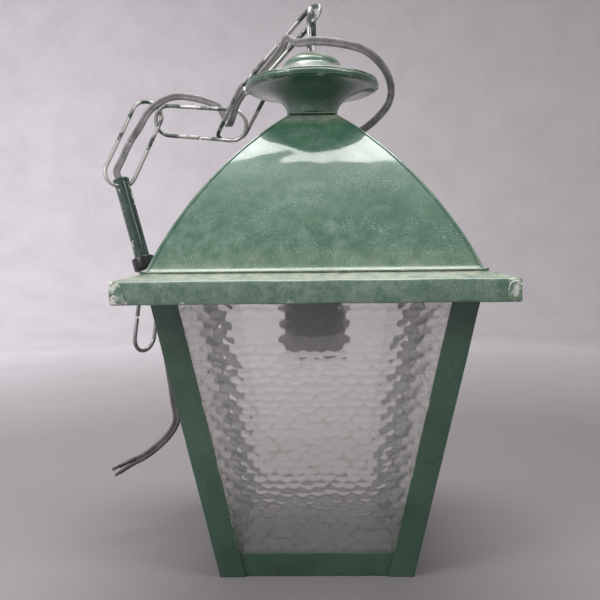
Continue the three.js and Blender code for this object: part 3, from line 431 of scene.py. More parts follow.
# %% Roof panels
COLUMNS, ROWS = 48, len(CURVE)


def dent(piece, seed, depth, size, still=None):
    """Push the surface in and out along its normals by slow noise."""
    for vertex, normal in [(v, v.normal.copy()) for v in piece.data.vertices]:
        point = vertex.co / (size * MM) + Vector((seed, 0, 0))
        hold = still(vertex.co / MM) if still else 1
        vertex.co += normal * noise.noise(point) * depth * hold * MM


def foot_hold(co):
    """0 where a piece stands on the floor, 1 from 6 mm up."""
    return clamp(co.z / 6)


def on_roof(i, co):
    w, z = CURVE[round((co.y + 1) / 2 * (ROWS - 1))]
    return co.x * (w - 0.15), AXIS.y - w, z


def hip_hold(co):
    """0 along the hips and the foot, 1 in the middle of the front panel."""
    w = abs(co.y - AXIS.y)
    return clamp((w - abs(co.x) - 2) / 14) * clamp((co.z - 194) / 12)


for k, side in enumerate(SIDES):
    panel = grid(COLUMNS, ROWS - 1, on_roof)
    bpy.ops.object.mode_set(mode="OBJECT")
    dent(panel, seed=90 * k / 37 + 3, depth=0.9, size=48, still=hip_hold)
    dent(panel, seed=90 * k / 37 + 9, depth=0.22, size=13, still=hip_hold)
    turned(panel, 90 * k)
    modify(panel, "SOLIDIFY", thickness=SHEET * MM, offset=-1, use_even_offset=True)
    smooth(panel)
    fit(panel, "sheet_roof_" + side, "roof_paint", "roof_panel_" + side)

# %% [markdown]
# Where two panels meet, the side sheet is folded over the front one and hammered down. The lap catches
# the light all the way up. It is a narrow grid wrapped round the hip, with a row for each of the curve.

# %% Folded laps on the hips
LAP, LAP_OVER, FOLD_RADIUS = 1.7, 0.55, 0.6


def lap_section():
    """(inset from the corner, offset from the panels, angle round the fold) from the front to the side."""
    flat = [(LAP, 0.35), (LAP - 0.15, LAP_OVER - 0.15), (LAP - 0.5, LAP_OVER),
            ((LAP + FOLD_RADIUS) / 2, LAP_OVER)]
    fold = [(FOLD_RADIUS, LAP_OVER, angle) for angle in (0, 22.5, 45, 67.5, 90)]
    return [(d, o, -1) for d, o in flat] + fold + [(d, o, 91) for d, o in reversed(flat)]


def hip_lap(seed):
    section = lap_section()

    def on_hip(i, co):
        row = round((co.y + 1) / 2 * (ROWS - 1))
        inset, over, angle = section[round((co.x + 1) / 2 * (len(section) - 1))]
        (w, z), (nw, nz) = CURVE[row], OUT[row]
        over += 0.12 * noise.noise(Vector((row / 4, seed, inset)))
        corner, height = w + nw * over, z + nz * over
        wander = 0.35 * noise.noise(Vector((row / 5, seed + 5, 0)))
        if angle < 0:
            return corner - inset - wander, AXIS.y - corner, height
        if angle > 90:
            return corner, AXIS.y - corner + inset + wander, height
        a = math.radians(angle)
        return (corner - inset * (1 - math.sin(a)), AXIS.y - corner + inset * (1 - math.cos(a)), height)

    lap = grid(len(section) - 1, ROWS - 1, on_hip)
    bpy.ops.object.mode_set(mode="OBJECT")
    modify(lap, "SOLIDIFY", thickness=0.5 * MM, offset=-1)
    smooth(lap, 45)
    return lap


for k in range(4):
    fit(turned(hip_lap(k), 90 * k), "hip_lap_" + CORNERS[(k + 1) % 4], "roof_paint")

# %% [markdown]
# The eave is one frame of sheet: a fascia, a rounded fold, a brim that slopes up under the roof, and a
# hem at the foot. A closed profile stands on the diagonal and is spun in four steps. Its distance from the
# axis is the half width times the square root of two, so the corners come out mitred.

# %% Eave
EAVE_HALF, EAVE_TOP, FASCIA, BRIM_INNER, BRIM_SLOPE = 110, 185, 12.5, 88, 4.6 / 17.5
EAVE_FOLD, HEM_ROUND, HEM = 1.3, 0.8, 4.5


def brim(w):
    return EAVE_TOP + BRIM_SLOPE * (EAVE_HALF - w)


def eave_profile():
    fold = [(EAVE_HALF + EAVE_FOLD * (math.cos(a) - 1), EAVE_TOP - 1 + EAVE_FOLD * math.sin(a))
            for a in map(math.radians, (0, 20, 40, 60, 75))]
    under = SHEET * math.hypot(1, BRIM_SLOPE)
    foot, back, hem = EAVE_TOP - FASCIA, EAVE_HALF - SHEET, EAVE_HALF - 2 * SHEET
    return [(EAVE_HALF, foot + HEM_ROUND), *fold, (BRIM_INNER, brim(BRIM_INNER)),
            (BRIM_INNER, brim(BRIM_INNER) - under), (back, brim(back) - under), (back, foot + HEM),
            (hem, foot + HEM), (hem, foot + HEM_ROUND), (hem + SHEET / 2, foot), (back + SHEET / 2, foot)]


def spun(profile, steps, turn=0, closed=True, stretch=1):
    """A profile of (radius, height) pairs, spun all round the lantern's axis."""
    across = Vector((math.cos(math.radians(turn)), math.sin(math.radians(turn)), 0)) * stretch
    piece = outline([AXIS + across * r + Vector((0, 0, z)) for r, z in profile], "NOTHING")
    if not closed:
        ends = {0, len(profile) - 1}
        pick(lambda edge: {v.index for v in edge.verts} == ends)
        bpy.ops.mesh.delete(type="EDGE_FACE")
    bpy.ops.mesh.select_all(action="SELECT")
    bpy.ops.mesh.spin(steps=steps, angle=math.tau, center=AXIS * MM, axis=(0, 0, 1))
    tidy_up()
    return piece


eave = spun(eave_profile(), 4, turn=45, stretch=math.sqrt(2))
bpy.ops.object.mode_set(mode="EDIT")
pick(lambda edge: edge.calc_length() > 150 * MM)
bpy.ops.mesh.subdivide(number_cuts=60)
bpy.ops.object.mode_set(mode="OBJECT")


def on_fascia(co):
    """0 at the corners, 1 from 12 mm away."""
    return clamp((106 - min(abs(co.x), abs(co.y - AXIS.y))) / 8)


for vertex in eave.data.vertices:
    co, hold = vertex.co / MM, on_fascia(vertex.co / MM)
    wave = noise.noise(Vector((co.x / 30, co.y / 30, 2))) + 0.5 * noise.noise(Vector((co.x / 9, co.y / 9, 5)))
    inward = Vector((-co.x, AXIS.y - co.y, 0)) / EAVE_HALF
    if max(abs(co.x), abs(co.y - AXIS.y)) > EAVE_HALF - 2:
        vertex.co += inward * max(0, 0.35 + 0.45 * wave) * hold * MM
    vertex.co.z += 0.35 * wave * hold * MM
soften(eave, width=0.45, angle=60.01)      # just past 60, where one edge would be rounded in some runs
fit(eave, "folded_eave", "roof_paint", "eave")

# %% [markdown]
# The ends of the side fascias are folded round the corners onto the front and the back. Each small tab is
# a flat outline pushed out by one sheet thickness, with its edges rounded.

# %% Corner tabs
TAB_OUTLINE = [(0.4, 0.6), (6.4, 0.5), (7.6, 0.9), (8.4, 2.2), (8.2, 4.4), (7.4, 8.6), (6.6, 10.4),
               (4.8, 11.3), (0.4, 11.4)]
tab = outline([(x - EAVE_HALF, AXIS.y - EAVE_HALF + 0.2, z + EAVE_TOP - FASCIA) for x, z in TAB_OUTLINE])
push((0, -1.05, 0))
tidy_up()
soften(tab)
for k, corner in enumerate(CORNERS):
    fit(another(tab, 180 * (k // 2), mirror=k % 2 == 1), "corner_tab_" + corner, "roof_paint")
bpy.data.objects.remove(tab)

# %% [markdown]
# The body is four leaning corner posts and four pairs of rails, all folded from 1 mm sheet. One post is
# drawn as an L and pushed up along its lean. A rail is an L too, but its ends are mitred, so its far end
# is the near end mirrored.

# %% Posts and rails
BASE_HALF, LEAN, ANGLE, GAP = 60, 32.3 / 172.5, 1.0, 0.3
POST_LEG, RAIL_FLANGE, LOW_TOP = 15.8, 10, 16
POST_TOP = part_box("post_front_left")[1].z / MM
HIGH_FOOT, HIGH_TOP = (corner.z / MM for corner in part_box("top_rail_front"))


def folded_bar(piece, shortest, cuts, seed, depth, size, width):
    """Divide a bar's long edges, dent it a little and round its edges."""
    pick(lambda edge: edge.calc_length() > shortest * MM)
    bpy.ops.mesh.subdivide(number_cuts=cuts)
    tidy_up()
    dent(piece, seed, depth, size, foot_hold)
    soften(piece, width)
    return piece


def post():
    leg, inside = -BASE_HALF + POST_LEG, -BASE_HALF + ANGLE
    corners = [(-BASE_HALF, -BASE_HALF), (leg, -BASE_HALF), (leg, inside), (inside, inside), (inside, leg),
               (-BASE_HALF, leg)]
    piece = outline([(x, y + AXIS.y, 0) for x, y in corners])
    push(Vector((-LEAN, -LEAN, 1)) * POST_TOP)
    return folded_bar(piece, 100, cuts=70, seed=4, depth=0.25, size=30, width=0.45)


def wall(z):
    """Half width of the rails' outer faces at a height."""
    return BASE_HALF + LEAN * z - (ANGLE + GAP)


def rail(flange, edge, seed):
    """A mitred L along the front, from the height of its flange to the height of its free edge."""
    inside = flange + math.copysign(ANGLE, edge - flange)
    pairs = [(wall(flange), flange), (wall(edge), edge), (wall(edge) - ANGLE, edge),
             (wall(inside) - ANGLE, inside), (wall(flange) - RAIL_FLANGE, inside),
             (wall(flange) - RAIL_FLANGE, flange)]
    piece = outline([(GAP - w, AXIS.y - w, z) for w, z in pairs])
    push()
    bpy.ops.transform.resize(value=(-1, 1, 1), center_override=(0, 0, 0))
    return folded_bar(piece, 80, cuts=40, seed=seed, depth=0.15, size=25, width=0.4)


all_round(post(), CORNERS, "folded_post_", "green_paint", "post_")
all_round(rail(0, LOW_TOP, seed=3), SIDES, "low_rail_", "green_paint", "bottom_rail_")
all_round(rail(HIGH_TOP, HIGH_FOOT, seed=8), SIDES, "high_rail_", "green_paint", "top_rail_")

# %% [markdown]
# The panes are hammered glass. Its face is a honeycomb of low rounded bumps, about 8 mm wide and 5 mm
# high, with narrow valleys between. The bumps bend what is seen through them, so they are real geometry:
# a fine grid whose points sink towards the borders of the cells. The back of the pane stays flat.

# %% Hammered panes
GLASS_THICK, CELL_WIDE, CELL_HIGH, VALLEY = 3, 8.3, 4.7, 0.62
PANE_SET = 2 * (ANGLE + GAP)
PANE_EDGE = POST_LEG - 8.2
PANE_FOOT, PANE_HEAD = (corner.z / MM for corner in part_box("glass_front"))


noise.seed_set(1)                # or else noise_vector starts from the clock, and each run differs


def centre_of(row, column):
    """Middle of one cell of the honeycomb, with a little wander."""
    shift = 0.5 * (row % 2)
    wander = noise.noise_vector(Vector((column * 3.7, row * 5.3, 1.5)))
    return (column + shift + 0.42 * wander.x) * CELL_WIDE, (row + 0.42 * wander.y) * CELL_HIGH


def hammered(x, z):
    """Depth below the tops of the bumps, in mm."""
    row = round(z / CELL_HIGH)
    near = []
    for r in (row - 1, row, row + 1):
        column = round(x / CELL_WIDE - 0.5 * (r % 2))
        for c in (column - 1, column, column + 1):
            cx, cz = centre_of(r, c)
            near.append(((x - cx) / CELL_WIDE) ** 2 + ((z - cz) / CELL_HIGH) ** 2)
    near.sort()
    border = math.sqrt(near[1]) - math.sqrt(near[0])
    dome = min(1, near[0] / 0.4)
    strength = 0.7 + 0.3 * clamp((150 - z) / 90)
    return VALLEY * strength * (0.75 * dome + 0.25 * math.exp(-border * 9))


def face(z):
    """Y of the front pane's hammered face at a height."""
    return AXIS.y - (BASE_HALF + LEAN * z - PANE_SET)


def pane():
    def on_wall(i, co):
        z = PANE_FOOT + (PANE_HEAD - PANE_FOOT) * (co.y + 1) / 2
        x = co.x * (BASE_HALF + LEAN * z - PANE_EDGE)
        inner = abs(co.x) < 0.999 and abs(co.y) < 0.999
        return x, face(z) + (hammered(x, z) if inner else 0.1), z

    piece = grid(190, 200, on_wall)
    pick(lambda edge: edge.is_boundary)
    push()
    shape = bmesh.from_edit_mesh(piece.data)
    for vertex in (v for v in shape.verts if v.select):
        vertex.co.y = (face(vertex.co.z / MM) + GLASS_THICK) * MM
    bmesh.update_edit_mesh(piece.data)
    bpy.ops.mesh.edge_face_add()
    tidy_up()
    smooth(piece, 40)
    valleys = piece.data.attributes.new("valley", "FLOAT", "POINT")
    valleys.data.foreach_set("value", [valley(vertex.co / MM) for vertex in piece.data.vertices])
    return piece


def valley(co):
    """1 at the bottom of a valley of the hammered face, 0 on a bump and on the pane's flat back."""
    depth = co.y - face(co.z)
    return clamp(depth / VALLEY) if depth < GLASS_THICK / 2 else 0


all_round(pane(), SIDES, "hammered_pane_", "hammered_glass", "glass_")

# %% [markdown]
# The chimney is turned work. The trumpet flares from a narrow neck to a wide rolled lip, and the cover is
# a sloping disc with a raised dome. Each is a closed profile spun round the lantern's axis.

# %% Chimney trumpet
NECK_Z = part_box("chimney_trumpet")[0].z / MM
NECK, FLANGE, RISE, FLANGE_LIP, ROLL_WIDE, ROLL_HIGH = 16.8, 44.8, 16.6, 4.2, 1.15, 1.4
LIP_Z = NECK_Z + RISE + FLANGE_LIP


def trumpet_profile():
    outer, inner, flare = [], [], FLANGE - 1.6 - NECK
    for k in range(25):
        a = math.radians(8 + 80 * k / 24)
        r, z = NECK + flare * (1 - math.cos(a)), NECK_Z + RISE * math.sin(a)
        n = Vector((RISE * math.cos(a), -flare * math.sin(a))).normalized() * SHEET
        outer.append((r, z))
        inner.append((r - n.x, z - n.y))
    outer[0], inner[0] = (outer[0][0], NECK_Z), (inner[0][0], NECK_Z)
    roll = [(FLANGE + ROLL_WIDE * (math.cos(a) - 1), LIP_Z + ROLL_HIGH * (math.sin(a) - 1))
            for a in map(math.radians, range(-60, 211, 30))]
    return [*outer, (FLANGE - 0.35, LIP_Z - FLANGE_LIP + 1.1), *roll, (FLANGE - SHEET - 0.45, LIP_Z - 2.4),
            *reversed(inner)]


trumpet = spun(trumpet_profile(), 128)
dent(trumpet, seed=6, depth=0.12, size=22)
smooth(trumpet, 60)
fit(trumpet, "turned_trumpet", "green_paint", "chimney_trumpet")

# %% Cover with its dome
COVER_Z = LIP_Z + GAP
COVER_EDGE, SLOPE_R, SLOPE_RISE = FLANGE - 0.9, 25, 7.2
DOME_R, DOME_SPRING, DOME_RISE = 18.2, COVER_Z + 14.5, 6.4
DOME_SPHERE = (DOME_R ** 2 + DOME_RISE ** 2) / (2 * DOME_RISE)


def dome(r):
    return DOME_SPRING + DOME_RISE - (DOME_SPHERE - math.sqrt(DOME_SPHERE ** 2 - r * r))


def cover_profile():
    middle = (COVER_EDGE + SLOPE_R) / 2
    knots = [(COVER_EDGE, COVER_Z + 0.6), (COVER_EDGE - 0.7, COVER_Z + 1.1), (COVER_EDGE - 5, COVER_Z + 1.8),
             (middle, COVER_Z + SLOPE_RISE * 0.36 + SHEET), (SLOPE_R + 2, COVER_Z + SLOPE_RISE - 0.9),
             (DOME_R + 4.2, COVER_Z + SLOPE_RISE + 1.3), (DOME_R + 1.9, COVER_Z + SLOPE_RISE + 3.6),
             (DOME_R + 0.9, DOME_SPRING - 1.6), (DOME_R - 0.6, dome(DOME_R - 0.6) - 0.1)]
    knots += [(r, dome(r)) for r in (15.5, 12.5, 9.5, 6.5, 3.5, 1.5, 0)]
    line = [(p.x, p.z) for p in smooth_line([(r, 0, z) for r, z in knots], 4)]
    inner = []
    for (r0, z0), (r, z), (r1, z1) in zip([line[0], *line], line, [*line[1:], line[-1]]):
        out = Vector((z1 - z0, r0 - r1)).normalized() * SHEET
        inner.append((max(0, r - out.x), z - out.y))
    inner[0], inner[-1] = (COVER_EDGE, COVER_Z), (0, dome(0) - SHEET)
    return [*reversed([(max(0, r), z) for r, z in line[:-1]] + [(0, dome(0))]), *inner]


cover = spun(cover_profile(), 128, closed=False)
dent(cover, seed=8, depth=0.16, size=18)
smooth(cover)
fit(cover, "domed_cover", "roof_paint", "chimney_cover")

# %% [markdown]
# Wire is bent cold: straight runs and round bends. A ring of points, the wire's section, is pushed along
# each run and spun round each bend, flat at the origin. Then the wire is laid where it belongs.

# %% Bent wire
def bend_wire(diameter, start_at, moves, sides=16):
    """Wire that starts along X at a point. A move is a run in mm or (centre, degrees) about Z.

    Spin counts its degrees clockwise, so they are given to it with the other sign.
    """
    piece = begin(bpy.ops.mesh.primitive_circle_add, vertices=sides, radius=diameter / 2 * MM,
                  fill_type="NOTHING", rotation=(0, math.pi / 2, 0), at=start_at)
    for move in moves:
        if isinstance(move[0], tuple):
            centre, angle = move
            bpy.ops.mesh.spin(steps=max(3, round(abs(angle) / 9)), angle=-math.radians(angle),
                              center=Vector((*centre, 0)) * MM, axis=(0, 0, 1))
        else:
            push((*move, 0))
    bpy.ops.mesh.select_all(action="SELECT")
    bpy.ops.mesh.remove_doubles(threshold=1e-6)
    bpy.ops.mesh.select_all(action="DESELECT")
    bpy.ops.mesh.select_mode(type="VERT")
    bpy.ops.mesh.select_non_manifold()
    bpy.ops.mesh.fill_holes(sides=0)
    tidy_up()
    return piece


def oval_wire(length, width, diameter, seam=1.2):
    """An oval link whose butted ends meet in the middle of one straight side."""
    straight, bend = (length - width) / 2, (width - diameter) / 2
    run = straight - seam / 2
    return bend_wire(diameter, (seam / 2, bend, 0), [(run, 0), ((straight, 0), -180), (-2 * straight, 0),
                                                     ((-straight, 0), -180), (run, 0)])


def lay(piece, middle, along, across, side=1):
    """Turn a flat wire so that its length runs along, and bring its middle to a point, in mm."""
    along, across = Vector(along).normalized(), Vector(across).normalized()
    across = (across - along * across.dot(along)).normalized()
    turn = Matrix((along, across * side, along.cross(across * side))).transposed().to_4x4()
    piece.data.transform(Matrix.Translation(Vector(middle) * MM) @ turn)
    return piece


# %% [markdown]
# Four long links lie over the roof and hang down its left side, all the same wire oval. Each has its own
# middle, three angles that turn it, the side on which the joint of its wire shows, and that joint's width.

# %% Chain
WIRE = 3.2
LINK_LONG, LINK_WIDE, LINK_WIRE = 80.8, 26.3, WIRE - 0.1
LINKS = [((-21.6, 73.3, 342.9), (159, 42, -47), -1, 1.2), ((-53, 112.9, 308.5), (115, 24, -3), 1, 1.2),
         ((-88.8, 133.6, 304.9), (166, -7, 78), -1, 2.2), ((-141.2, 129.5, 288.9), (229, 61, -60), 1, 1.2)]


def headings(heading, dip, roll):
    """Unit vectors down a link's length and across it, from three angles in degrees."""
    h, d, r = (math.radians(a) for a in (heading, dip, roll))
    along = Vector((math.cos(d) * math.cos(h), math.cos(d) * math.sin(h), -math.sin(d)))
    level = Vector((-math.sin(h), math.cos(h), 0))
    return along, level * math.cos(r) + along.cross(level) * math.sin(r)


for k, (middle, angles, side, seam) in enumerate(LINKS, 1):
    link = lay(oval_wire(LINK_LONG, LINK_WIDE, LINK_WIRE, seam), middle, *headings(*angles), side)
    dent(link, seed=k, depth=0.04, size=6)
    soften(link, width=0.3, segments=2)
    fit(link, f"wire_link_{k}", "green_paint", f"chain_link_{k}", body=f"link_{k}")

# %% Hanger and ceiling ring
HANGER_HALF, HANGER_TOP, HANGER_TURN, HANGER_BEND, HANGER_TOE = 9, 363.5, math.radians(10), 2.6, 1.6
HANGER_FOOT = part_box("hanger")[0].z / MM + WIRE / 2
x, z, crown = HANGER_HALF - HANGER_BEND, HANGER_FOOT + HANGER_BEND, HANGER_TOP - HANGER_HALF
loop = bend_wire(WIRE, (HANGER_TOE - x, HANGER_FOOT, 0),
                 [(-HANGER_TOE, 0), ((-x, z), -90), (0, crown - z), ((0, crown), -180), (0, z - crown),
                  ((x, z), -90), (-HANGER_TOE, 0)])
lay(loop, AXIS, (math.sin(HANGER_TURN), math.cos(HANGER_TURN), 0), (0, 0, 1))
smooth(loop)
fit(loop, "wire_hanger", "green_paint", "hanger")
RING_MIDDLE, RING_ANGLES = (-128.2, 105.3, 153.02), (180, 82, 28)
RING_LONG, RING_WIDE, RING_WIRE = 55.5, 25, 3
ring = lay(oval_wire(RING_LONG, RING_WIDE, RING_WIRE), RING_MIDDLE, *headings(*RING_ANGLES))
soften(ring, width=0.3, segments=2)
fit(ring, "wire_ceiling_ring", "steel", "ceiling_ring", body="ring")

# %% [markdown]
# The stem is a thin tube with a small rolled lip. The last link passes crosswise through holes at its top,
# and the ceiling ring through holes at its foot. The tube is spun upright at the origin and turned to hang
# where the real one leans. Then its holes are cut with rods.

# %% Stem and collar
STEM_TOP, STEM_DOWN = Vector((-149.71, 119.75, 259.56)), Vector((0.28065, -0.16212, -0.94602))
STEM_R, STEM_BORE, STEM_LENGTH, STEM_LIP = 5.7, 5.15, 92, 0.7
STEM_ROUND, HOLE_R, HOLE_BACK = 48, 2.8, 1.3
LAST_LINK = (-147.43, 117.5, 253.86), (0.9065, 0.4036, 0.1242), (-0.2094, 0.1742, 0.9622)
RING = (-124.55, 105.3, 179.02), (-0.4649, -0.8829, 0.0653), (-0.1392, 0, -0.9903)


def along_stem(profile, distance=0):
    """A closed (radius, distance) profile turned about the stem's axis."""
    piece = outline([(r, 0, d + distance) for r, d in profile], "NOTHING")
    bpy.ops.mesh.spin(steps=STEM_ROUND, angle=math.tau, center=(0, 0, 0), axis=(0, 0, 1))
    tidy_up()
    turn = Vector((0, 0, 1)).rotation_difference(STEM_DOWN).to_matrix().to_4x4()
    piece.data.transform(Matrix.Translation(STEM_TOP * MM) @ turn)
    return piece


def cross_hole(piece, saddle, wire, back):
    """Cut a hole through the tube for a wire that turns back from its saddle."""
    bpy.ops.object.select_all(action="DESELECT")
    lean = Vector((0, 0, 1)).rotation_difference(Vector(wire)).to_euler()
    bpy.ops.mesh.primitive_cylinder_add(vertices=32, radius=HOLE_R * MM, depth=34 * MM, rotation=lean,
                                        location=(Vector(saddle) + Vector(back) * HOLE_BACK) * MM)
    rod = bpy.context.object
    modify(piece, "BOOLEAN", object=rod, operation="DIFFERENCE", solver="EXACT")
    bpy.data.objects.remove(rod)


lip = STEM_R + STEM_LIP
stem = along_stem([(STEM_BORE, 0.5), (STEM_BORE + 0.3, 0), (lip - 0.5, 0), (lip, 0.5), (lip, 1.6),
                   (STEM_R + 0.25, 2.4), (STEM_R, 3.4), (STEM_R, STEM_LENGTH - 0.15),
                   (STEM_R - 0.15, STEM_LENGTH), (STEM_BORE + 0.1, STEM_LENGTH),
                   (STEM_BORE, STEM_LENGTH - 0.1)])
cross_hole(stem, *LAST_LINK)
cross_hole(stem, *RING)
smooth(stem, 40)
fit(stem, "hanging_stem", "green_paint", "stem_tube", body="stem")
COLLAR_IN, COLLAR_R, COLLAR_LENGTH, COLLAR_ROUND, COLLAR_AT = STEM_R + GAP, 8.6, 9.5, 1.1, 64.5
rounded = [(COLLAR_R + COLLAR_ROUND * (math.sin(a) - 1), COLLAR_ROUND * (1 - math.cos(a)))
           for a in map(math.radians, (0, 22.5, 45, 67.5, 90))]
collar = along_stem([(COLLAR_IN, 0.4), (COLLAR_IN + 0.4, 0), *rounded,
                     *((r, COLLAR_LENGTH - d) for r, d in reversed(rounded)),
                     (COLLAR_IN + 0.4, COLLAR_LENGTH), (COLLAR_IN, COLLAR_LENGTH - 0.4)], COLLAR_AT)
smooth(collar, 40)
fit(collar, "turned_collar", "black_plastic", "stem_collar", body="collar")

# %% [markdown]
# Now the finishes. A finish is a small network of nodes, and networks are easier to read as arithmetic.
# The class below wraps a socket, so that adding or multiplying two of them makes the Math node. Any other
# node comes from one method, which takes its type, what goes into its sockets and its settings.

# %% Nodes as expressions
class Value:
    """A node's output, on which Python's arithmetic adds Math nodes."""

    def __init__(self, finish, socket):
        self.finish, self.socket = finish, socket

    def maths(self, operation, a, b):
        return self.finish.node("Math", {0: a, 1: b}, operation=operation)

    __add__ = __radd__ = lambda a, b: a.maths("ADD", a, b)
    __sub__ = lambda a, b: a.maths("SUBTRACT", a, b)
    __rsub__ = lambda a, b: a.maths("SUBTRACT", b, a)
    __mul__ = lambda a, b: a.maths("MULTIPLY", a, b)
    or_more = lambda a, b: a.maths("MAXIMUM", a, b)


class Finish:
    """One material and its nodes."""

    def __init__(self, name):
        self.material = bpy.data.materials.new(name)
        self.material.use_nodes = True
        self.tree = self.material.node_tree
        self.tree.nodes.clear()
        self.at = self.node("TexCoord", {}, "Object")

    def node(self, kind, inputs, out=0, **settings):
        made = self.tree.nodes.new("ShaderNode" + kind)
        for key, value in settings.items():
            setattr(made, key, value)
        for key, value in inputs.items():
            if isinstance(value, Value):
                self.tree.links.new(value.socket, made.inputs[key])
            else:
                made.inputs[key].default_value = value
        return Value(self, made.outputs[out])

    def axis(self, letter, source=None):
        """One coordinate of the object, or of another vector."""
        return self.node("SeparateXYZ", {0: source or self.at}, letter)

    def noise(self, size, detail=2, roughness=0.5):
        """Smooth noise from 0 to 1 whose blotches are about this many mm wide."""
        return self.node("TexNoise", {"Vector": self.at, "Scale": 1 / (size * MM), "Detail": detail,
                                      "Roughness": roughness})

    def step(self, value, low, high, to_low=0.0, to_high=1.0):
        """Runs from to_low to to_high while value goes from low to high."""
        return self.node("MapRange", {0: value, 1: low, 2: high, 3: to_low, 4: to_high})

    def mix(self, share, a, b):
        """Colour a where share is 0 and b where it is 1, each a socket or a colour up to 255."""
        a, b = (c if isinstance(c, Value) else colour(*c) for c in (a, b))
        return self.node("Mix", {0: share, 6: a, 7: b}, 2, data_type="RGBA")

    def attribute(self, name):
        """A number kept on the mesh's points."""
        return self.node("Attribute", {}, "Fac", attribute_name=name)

    def bump(self, height, distance):
        return self.node("Bump", {"Height": height, "Distance": distance * MM}, "Normal")

    def principled(self, inputs):
        """Connect the main shader, with these inputs, to the material's output."""
        shader, output = self.node("BsdfPrincipled", inputs), self.tree.nodes.new("ShaderNodeOutputMaterial")
        self.tree.links.new(shader.socket, output.inputs["Surface"])
        return self.material


def colour(red, green, blue):
    """A colour as a picture shows it, from 0 to 255, turned into the light that it stands for."""
    return (*(((c / 255 + 0.055) / 1.055) ** 2.4 for c in (red, green, blue)), 1)


# %% [markdown]
# Green enamel, in four states: painted darker on the body as shade, weathered on the roof, dusty on the
# chimney, and glossy on the stem, painted darker still there as shade. It is a little cloudy, with fine dust
# in it, and its chips follow the worn edges, which are kept on the mesh as an attribute. Settled dust lies on
# what faces up and along the roof's foot and crown, and the eave's front corners are scraped. Heights and
# places are in metres here.

# %% Green enamel
SETTLED_DUST = (158, 160, 144)


def enamel(name, deep, middle, pale, chip, dust, rough, settled=0, shelf=0.86):
    f = Finish(name)
    smears = f.noise(8, 5, 0.7)
    tone = f.mix(f.step(f.noise(34, 5, 0.6), 0.36, 0.66), deep, middle)
    film = f.step(smears, 0.42, 0.74) * f.step(f.noise(60, 3), 0.4, 0.62)
    tone = f.mix(film * (dust * 0.6), tone, pale)
    grit = f.step(f.noise(0.9, 2, 0.8), 0.53, 0.66) * f.step(f.noise(13, 4, 0.6), 0.4, 0.64)
    tone = f.mix(grit * dust, tone, pale)
    wear, scrape = f.step(f.noise(11, 4), 0.47, 0.66), 0
    if settled:
        x, y, z = (f.axis(letter) for letter in "XYZ")
        up = f.axis("Z", f.node("TexCoord", {}, "Normal"))
        foot = f.step(z, 0.203, 0.190) * f.step(z, 0.184, 0.1865)
        crown = f.step(z, 0.282, 0.288) * f.step(z, 0.293, 0.2915)
        lying = (f.step(up, shelf, 0.97) + foot * 0.7 + crown) * f.step(f.noise(7, 5, 0.7), 0.24, 0.6)
        tone = f.mix(f.step(z, 0.1865, 0.184) * f.step(smears, 0.3, 0.6) * 0.4, tone, pale)
        tone = f.mix(lying * settled, tone, SETTLED_DUST)
        film = film.or_more(lying * 1.2)
        wear = wear + f.step(x * x, 0.0098, 0.0118) * 0.6
        scrape = (f.step(x * x, 0.0103, 0.0116) * f.step(y, -0.040, -0.050) * f.step(z, 0.187, 0.184)
                  * f.step(f.noise(4, 4, 0.65), 0.5, 0.58))
    nicks = f.step(f.attribute("edge") * wear * f.noise(1.7, 4, 0.75), 0.33, 0.42).or_more(scrape)
    tone = f.mix(nicks, tone, chip)
    roughness = f.step(smears, 0.3, 0.75, rough - 0.06, rough + 0.14) + nicks * 0.2
    relief = f.noise(1.6, 3) * 0.3 + f.noise(11, 3) * 0.8 - nicks * 0.7
    return f.principled({"Base Color": tone, "Roughness": roughness, "Normal": f.bump(relief, 0.12),
                         "Coat Weight": 0.85 - film * 0.6 - nicks * 0.8, "IOR": 1.5, "Coat Roughness": 0.07})


PALE_CHIP = (186, 188, 180)
FINISHES = {
    # The body's copy of the enamel is painted darker, as shade on the posts and rails.
    "green_paint": enamel("green enamel with painted shade", (38, 70, 53), (52, 86, 67), (108, 126, 112), PALE_CHIP,
                          dust=0.35, rough=0.36),
    "roof_paint": enamel("weathered green enamel", (48, 88, 67), (63, 101, 80), (146, 165, 150),
                         (202, 204, 194), dust=0.7, rough=0.42, settled=0.5),
}
DUSTY = enamel("dusty green enamel", (44, 80, 61), (58, 96, 76), (140, 158, 144), (150, 164, 150),
               dust=0.5, rough=0.34, settled=0.95, shelf=0.45)
# The stem's copy is glossy and painted darker still, as shade.
GLOSSY_PAINTED_SHADE = enamel("glossy green enamel with painted shade", (24, 48, 38), (38, 66, 53), (96, 120, 106), PALE_CHIP,
                dust=0.25, rough=0.22)

# %% [markdown]
# The chain and the hanger are wire whose thin paint has rubbed off where the links slide on each other.
# Between the last dark patches of paint the bare metal shows.

# %% Rubbed wire
def rubbed_wire():
    f = Finish("rubbed wire")
    bare = f.step(f.noise(17, 3, 0.5) * 0.8 + f.noise(1.8, 4, 0.7) * 0.2, 0.44, 0.5)
    painted = f.mix(f.noise(4, 3), (34, 46, 40), (62, 74, 66))
    return f.principled({"Base Color": f.mix(bare, painted, (172, 172, 168)), "Metallic": bare * 0.85,
                         "Roughness": 0.3 + f.noise(3, 4) * 0.2, "Normal": f.bump(f.noise(1.4, 4), 0.1)})


RUBBED = rubbed_wire()

# %% [markdown]
# The glass is clear, with painted shade darkening the valleys between its bumps. A little of each ray is let
# straight through, so that the inside doesn't turn black behind the panes. The other materials are a light
# and a dark tone in faint clouds, under a fine skin.

# %% Glass, metals and plastics
def glass():
    f = Finish("hammered glass")
    # Painted shade: the valleys between the bumps are darker than the bumps.
    tone = f.mix(f.step(f.attribute("valley"), 0.45, 0.95), (255, 255, 252), (204, 208, 198))
    return f.principled({"Base Color": tone, "Roughness": f.step(f.noise(24, 5, 0.65), 0.42, 0.8, 0.02, 0.12),
                         "IOR": 1.5, "Transmission Weight": 0.9, "Alpha": 0.82})


